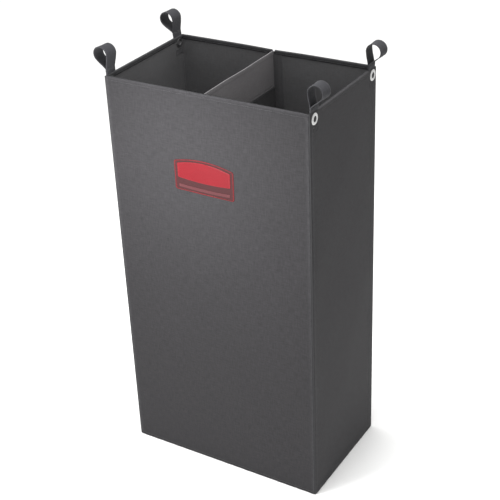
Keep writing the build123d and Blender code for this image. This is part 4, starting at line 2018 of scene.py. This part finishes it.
@dataclass
class Badge(Assembly):
    """A plain moulded badge: a field with a raised edging, an arched plate and a narrow bar."""

    rise: float = 9.5 * MM
    edge: float = 1.6 * MM
    plate_rise: float = 9 * MM
    plate_sag: float = 3 * MM
    bar_drop: tuple[float, float] = (16.5 * MM, 10.5 * MM)
    bar_bow: float = 1.5 * MM

    def build(self) -> Iterable[bpy.types.Object]:
        """Builds the badge.

        Returns:
            The pieces.
        """
        low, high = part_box("badge_patch")
        ends, levels = (low[0], high[0]), (low[2], high[2] - self.rise)
        surface = self.moulding(ends, levels, sag=0.0, rise=self.rise, corner_r=5 * MM, foot=0.0, proud=0.45 * MM)
        yield self.settle(surface, "badge_field", BADGE_FIELD, "bag", "badge_patch", crease=30)
        yield self.settle(self.edging(ends, levels), "badge_edging", BADGE_EDGE, "bag", crease=50)
        low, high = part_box("badge_plate")
        ends, levels = (low[0], high[0]), (low[2] + self.plate_sag, high[2] - self.plate_rise)
        surface = self.moulding(ends, levels, sag=self.plate_sag, rise=self.plate_rise, corner_r=2.5 * MM,
                                foot=0.4 * MM, proud=1.1 * MM)
        yield self.settle(surface, "badge_arched_plate", BADGE_RED, "bag", "badge_plate", crease=30)
        ends, levels = (low[0] + 2 * MM, high[0] - 2 * MM), tuple(low[2] - drop for drop in self.bar_drop)
        surface = self.moulding(ends, levels, sag=self.bar_bow, rise=-self.bar_bow, corner_r=1.4 * MM,
                                foot=0.4 * MM, proud=0.9 * MM)
        yield self.settle(surface, "badge_bar", BADGE_BAR, "bag", crease=30)

    @staticmethod
    def boundary(
        ends: tuple[float, float], levels: tuple[float, float], sag: float, rise: float, corner_r: float
    ) -> Points:
        """The outline of an arched plate, with rounded corners.

        Args:
            ends: its left and right.
            levels: the lower and upper ends of its upright sides.
            sag: how far its lower edge bows down.
            rise: how far its upper edge arches up.
            corner_r: its corner radius.

        Returns:
            Points along and up the wall, once round.
        """
        def bow(x: Points) -> Points:
            """How much of the full bow there is at x, from 0 at the ends to 1 in the middle."""
            return 1 - ((2 * x - ends[0] - ends[1]) / (ends[1] - ends[0])) ** 2

        def lower(x: Points) -> Points:
            """The lower edge's height at x."""
            return levels[0] - sag * bow(x)

        def upper(x: Points) -> Points:
            """The upper edge's height at x."""
            return levels[1] + rise * bow(x)

        r = corner_r
        inner = np.linspace(ends[0] + r, ends[1] - r, 40)
        quarter = np.linspace(0, math.pi / 2, 7)[1:-1]
        parts = [np.stack([inner, lower(inner)], 1)]
        left, right = ends[0] + r, ends[1] - r
        spots = ((right, lower(right) + r, -math.pi / 2), (right, upper(right) - r, 0.0),
                 (left, upper(left) - r, math.pi / 2), (left, lower(left) + r, math.pi))
        for index, (x, z, start) in enumerate(spots):
            turn = start + quarter
            parts.append(np.stack([x + r * np.cos(turn), z + r * np.sin(turn)], 1))
            if index == 0:
                parts.append(np.stack([np.full(8, ends[1]), np.linspace(float(z), float(spots[1][1]), 8)], 1))
            if index == 1:
                parts.append(np.stack([inner[::-1], upper(inner[::-1])], 1))
            if index == 2:
                parts.append(np.stack([np.full(8, ends[0]), np.linspace(float(z), float(spots[3][1]), 8)], 1))
        return np.vstack(parts)

    def moulding(self, ends: tuple[float, float], levels: tuple[float, float], sag: float, rise: float, corner_r: float,
                 foot: float, proud: float) -> Surface:
        """A shallow moulding with a softened edge.

        Args:
            ends: its left and right.
            levels: its lower and upper level at the sides.
            sag: bow of its lower edge.
            rise: arch of its upper edge.
            corner_r: corner radius.
            foot: where it starts, out of the wall.
            proud: where its face is, out of the wall.

        Returns:
            The surface.
        """
        edge = self.boundary(ends, levels, sag, rise, corner_r)
        centre = edge.mean(axis=0)
        step = proud - foot
        shares = [(1.0, foot - 0.2 * MM), (1.0, foot + 0.5 * step), (0.996, foot + 0.85 * step)]
        shares += [(share, proud) for share in (0.988, 0.9, 0.6, 0.3)]
        rows, rub = [], []
        for index, (share, out) in enumerate(shares):
            flat = centre + (edge - centre) * share
            rows.append(self.form.place(Wall.FRONT, flat[:, 0], flat[:, 1], out))
            rub.append(1.0 if index in (2, 3) else 0.0)
        grid = np.stack(rows)
        u, v = np.arange(len(edge) + 1) * MM, np.arange(len(rows)) * MM
        surface = Surface.from_grid(grid, u, v, wrap_u=True, rub=np.array(rub)[:, None] * np.ones((1, len(edge))))
        ring = list(range((len(rows) - 1) * len(edge), len(rows) * len(edge)))
        surface.faces.append(tuple(ring))
        surface.uvs += [(0.0, 0.0)] * len(ring)
        return surface

    def edging(self, ends: tuple[float, float], levels: tuple[float, float]) -> Surface:
        """The raised bead round the field.

        Args:
            ends: the field's left and right.
            levels: the lower and upper level of its sides.

        Returns:
            The bead.
        """
        ends = (ends[0] + self.edge, ends[1] - self.edge)
        levels = (levels[0] + self.edge, levels[1] - self.edge)
        edge = self.boundary(ends, levels, 0.0, self.rise, 4 * MM)
        outward = unit(edge - edge.mean(axis=0))
        rows = []
        for turn in np.linspace(0, math.pi, 7):
            flat = edge + outward * (self.edge / 2 * math.cos(turn))
            rows.append(self.form.place(Wall.FRONT, flat[:, 0], flat[:, 1], 0.35 * MM + 0.5 * MM * math.sin(turn)))
        return Surface.from_grid(np.stack(rows), np.arange(len(edge) + 1) * MM, np.arange(len(rows)) * MM, wrap_u=True)


# ---------------------------------------------------------------------------------------------
# Studio
# ---------------------------------------------------------------------------------------------


@dataclass(frozen=True)
class Softbox:
    """A large soft lamp aimed at the bag."""

    name: str
    place: tuple[float, float, float]
    size: float
    watts: float

    def hang(self, target: Vector) -> None:
        """Adds the lamp.

        Args:
            target: where it points.
        """
        lamp = bpy.data.lights.new(self.name, "AREA")
        lamp.shape, lamp.size, lamp.energy = "SQUARE", self.size, self.watts
        made = bpy.data.objects.new(self.name, lamp)
        made.location = self.place
        made.rotation_euler = (target - Vector(self.place)).to_track_quat("-Z", "Y").to_euler()
        bpy.context.scene.collection.objects.link(made)


@dataclass
class Studio:
    """A pale floor, a white surround, soft lamps and the camera."""

    azimuth: float = 32.04
    elevation: float = 29.276
    roll: float = -2.525
    place: tuple[float, float, float] = (1.1401, -1.81434, 1.66144)
    lens: float = 86.154
    surround: float = 1.03
    floor_half: float = 6.0
    aim: tuple[float, float, float] = (0.0, -0.13, 0.62)
    lamps: list[Softbox] = field(default_factory=lambda: [
        Softbox("Key softbox", (-0.1, -0.5, 0.77), 0.2, 4.8),
        Softbox("Front softbox", (-0.3, -1.6, 0.36), 0.8, 11.5),
        Softbox("Overhead softbox", (0.0, -0.05, 2.3), 0.6, 36.0),
    ])

    def build(self) -> None:
        """Sets up the studio."""
        self.floor()
        self.world()
        for lamp in self.lamps:
            lamp.hang(Vector(self.aim))
        self.camera()
        bpy.context.scene.view_settings.view_transform = "Standard"

    def floor(self) -> None:
        """The pale floor."""
        line = np.linspace(-self.floor_half, self.floor_half, 25)
        xs, ys = np.meshgrid(line, line)
        surface = Surface.from_grid(np.stack([xs, ys, np.zeros_like(xs)], axis=-1), line, line)
        finish = StudioPaper("Studio paper", "none", (0.975, 0.975, 0.97))
        surface.piece("studio_floor", finish)

    def world(self) -> None:
        """The white surround."""
        world = bpy.data.worlds.new("Studio surround")
        world.use_nodes = True
        world.node_tree.nodes["Background"].inputs["Color"].default_value = (1.0, 1.0, 0.995, 1.0)
        world.node_tree.nodes["Background"].inputs["Strength"].default_value = self.surround
        bpy.context.scene.world = world

    def camera(self) -> None:
        """The camera."""
        a, e, r = (math.radians(angle) for angle in (self.azimuth, self.elevation, self.roll))
        back = Vector((math.sin(a) * math.cos(e), -math.cos(a) * math.cos(e), math.sin(e)))
        right = Vector((math.cos(a), math.sin(a), 0.0))
        up = back.cross(right)
        across = math.cos(r) * right + math.sin(r) * up
        upward = -math.sin(r) * right + math.cos(r) * up
        data = bpy.data.cameras.new("Studio camera")
        data.lens, data.sensor_width = self.lens, 36.0
        made = bpy.data.objects.new("Studio camera", data)
        made.matrix_world = Matrix.Translation(self.place) @ Matrix((across, upward, back)).transposed().to_4x4()
        bpy.context.scene.collection.objects.link(made)
        bpy.context.scene.camera = made


@dataclass(frozen=True)
class StudioPaper(Finish):
    """The floor's matt paper."""

    def dress(self, graph: Graph, shader: bpy.types.Node) -> None:
        """Adds a faint cloudy tone."""
        place = graph.node("ShaderNodeTexCoord").outputs["Object"]
        clouds = graph.group(Effects.mottle(), Vector=place, Scale=0.8, Amount=0.01, Grain=0.005)
        graph.join(graph.mix_colour(1.0, self.rgba(), clouds["Tone"], "MULTIPLY"), shader.inputs["Base Color"])
        shader.inputs["Roughness"].default_value = 0.9


def main() -> None:
    """Builds the bag, piece by piece, and the studio round it."""
    logging.basicConfig(level=logging.INFO, format="%(name)s: %(message)s")
    form = BagForm.of_frame()
    corners = [(row, side) for row in Row for side in Side]
    assemblies: list[Assembly] = [OuterShell(form), Stiffeners(form), Lining(form), RimBinding(form), Divider(form)]
    assemblies += [HangingLoop(form, row, side, yaw=YAW[row, side]) for row, side in corners]
    assemblies += [Eyelet(form, row, side) for row, side in corners]
    assemblies += [FloorBoard(form, side) for side in Side] + [Badge(form)]
    for assembly in assemblies:
        for piece in assembly.build():
            LOG.info("%s: %s, %d faces", type(assembly).__name__, piece.name, len(piece.data.polygons))
    Studio().build()


if __name__ == "__main__":
    main()
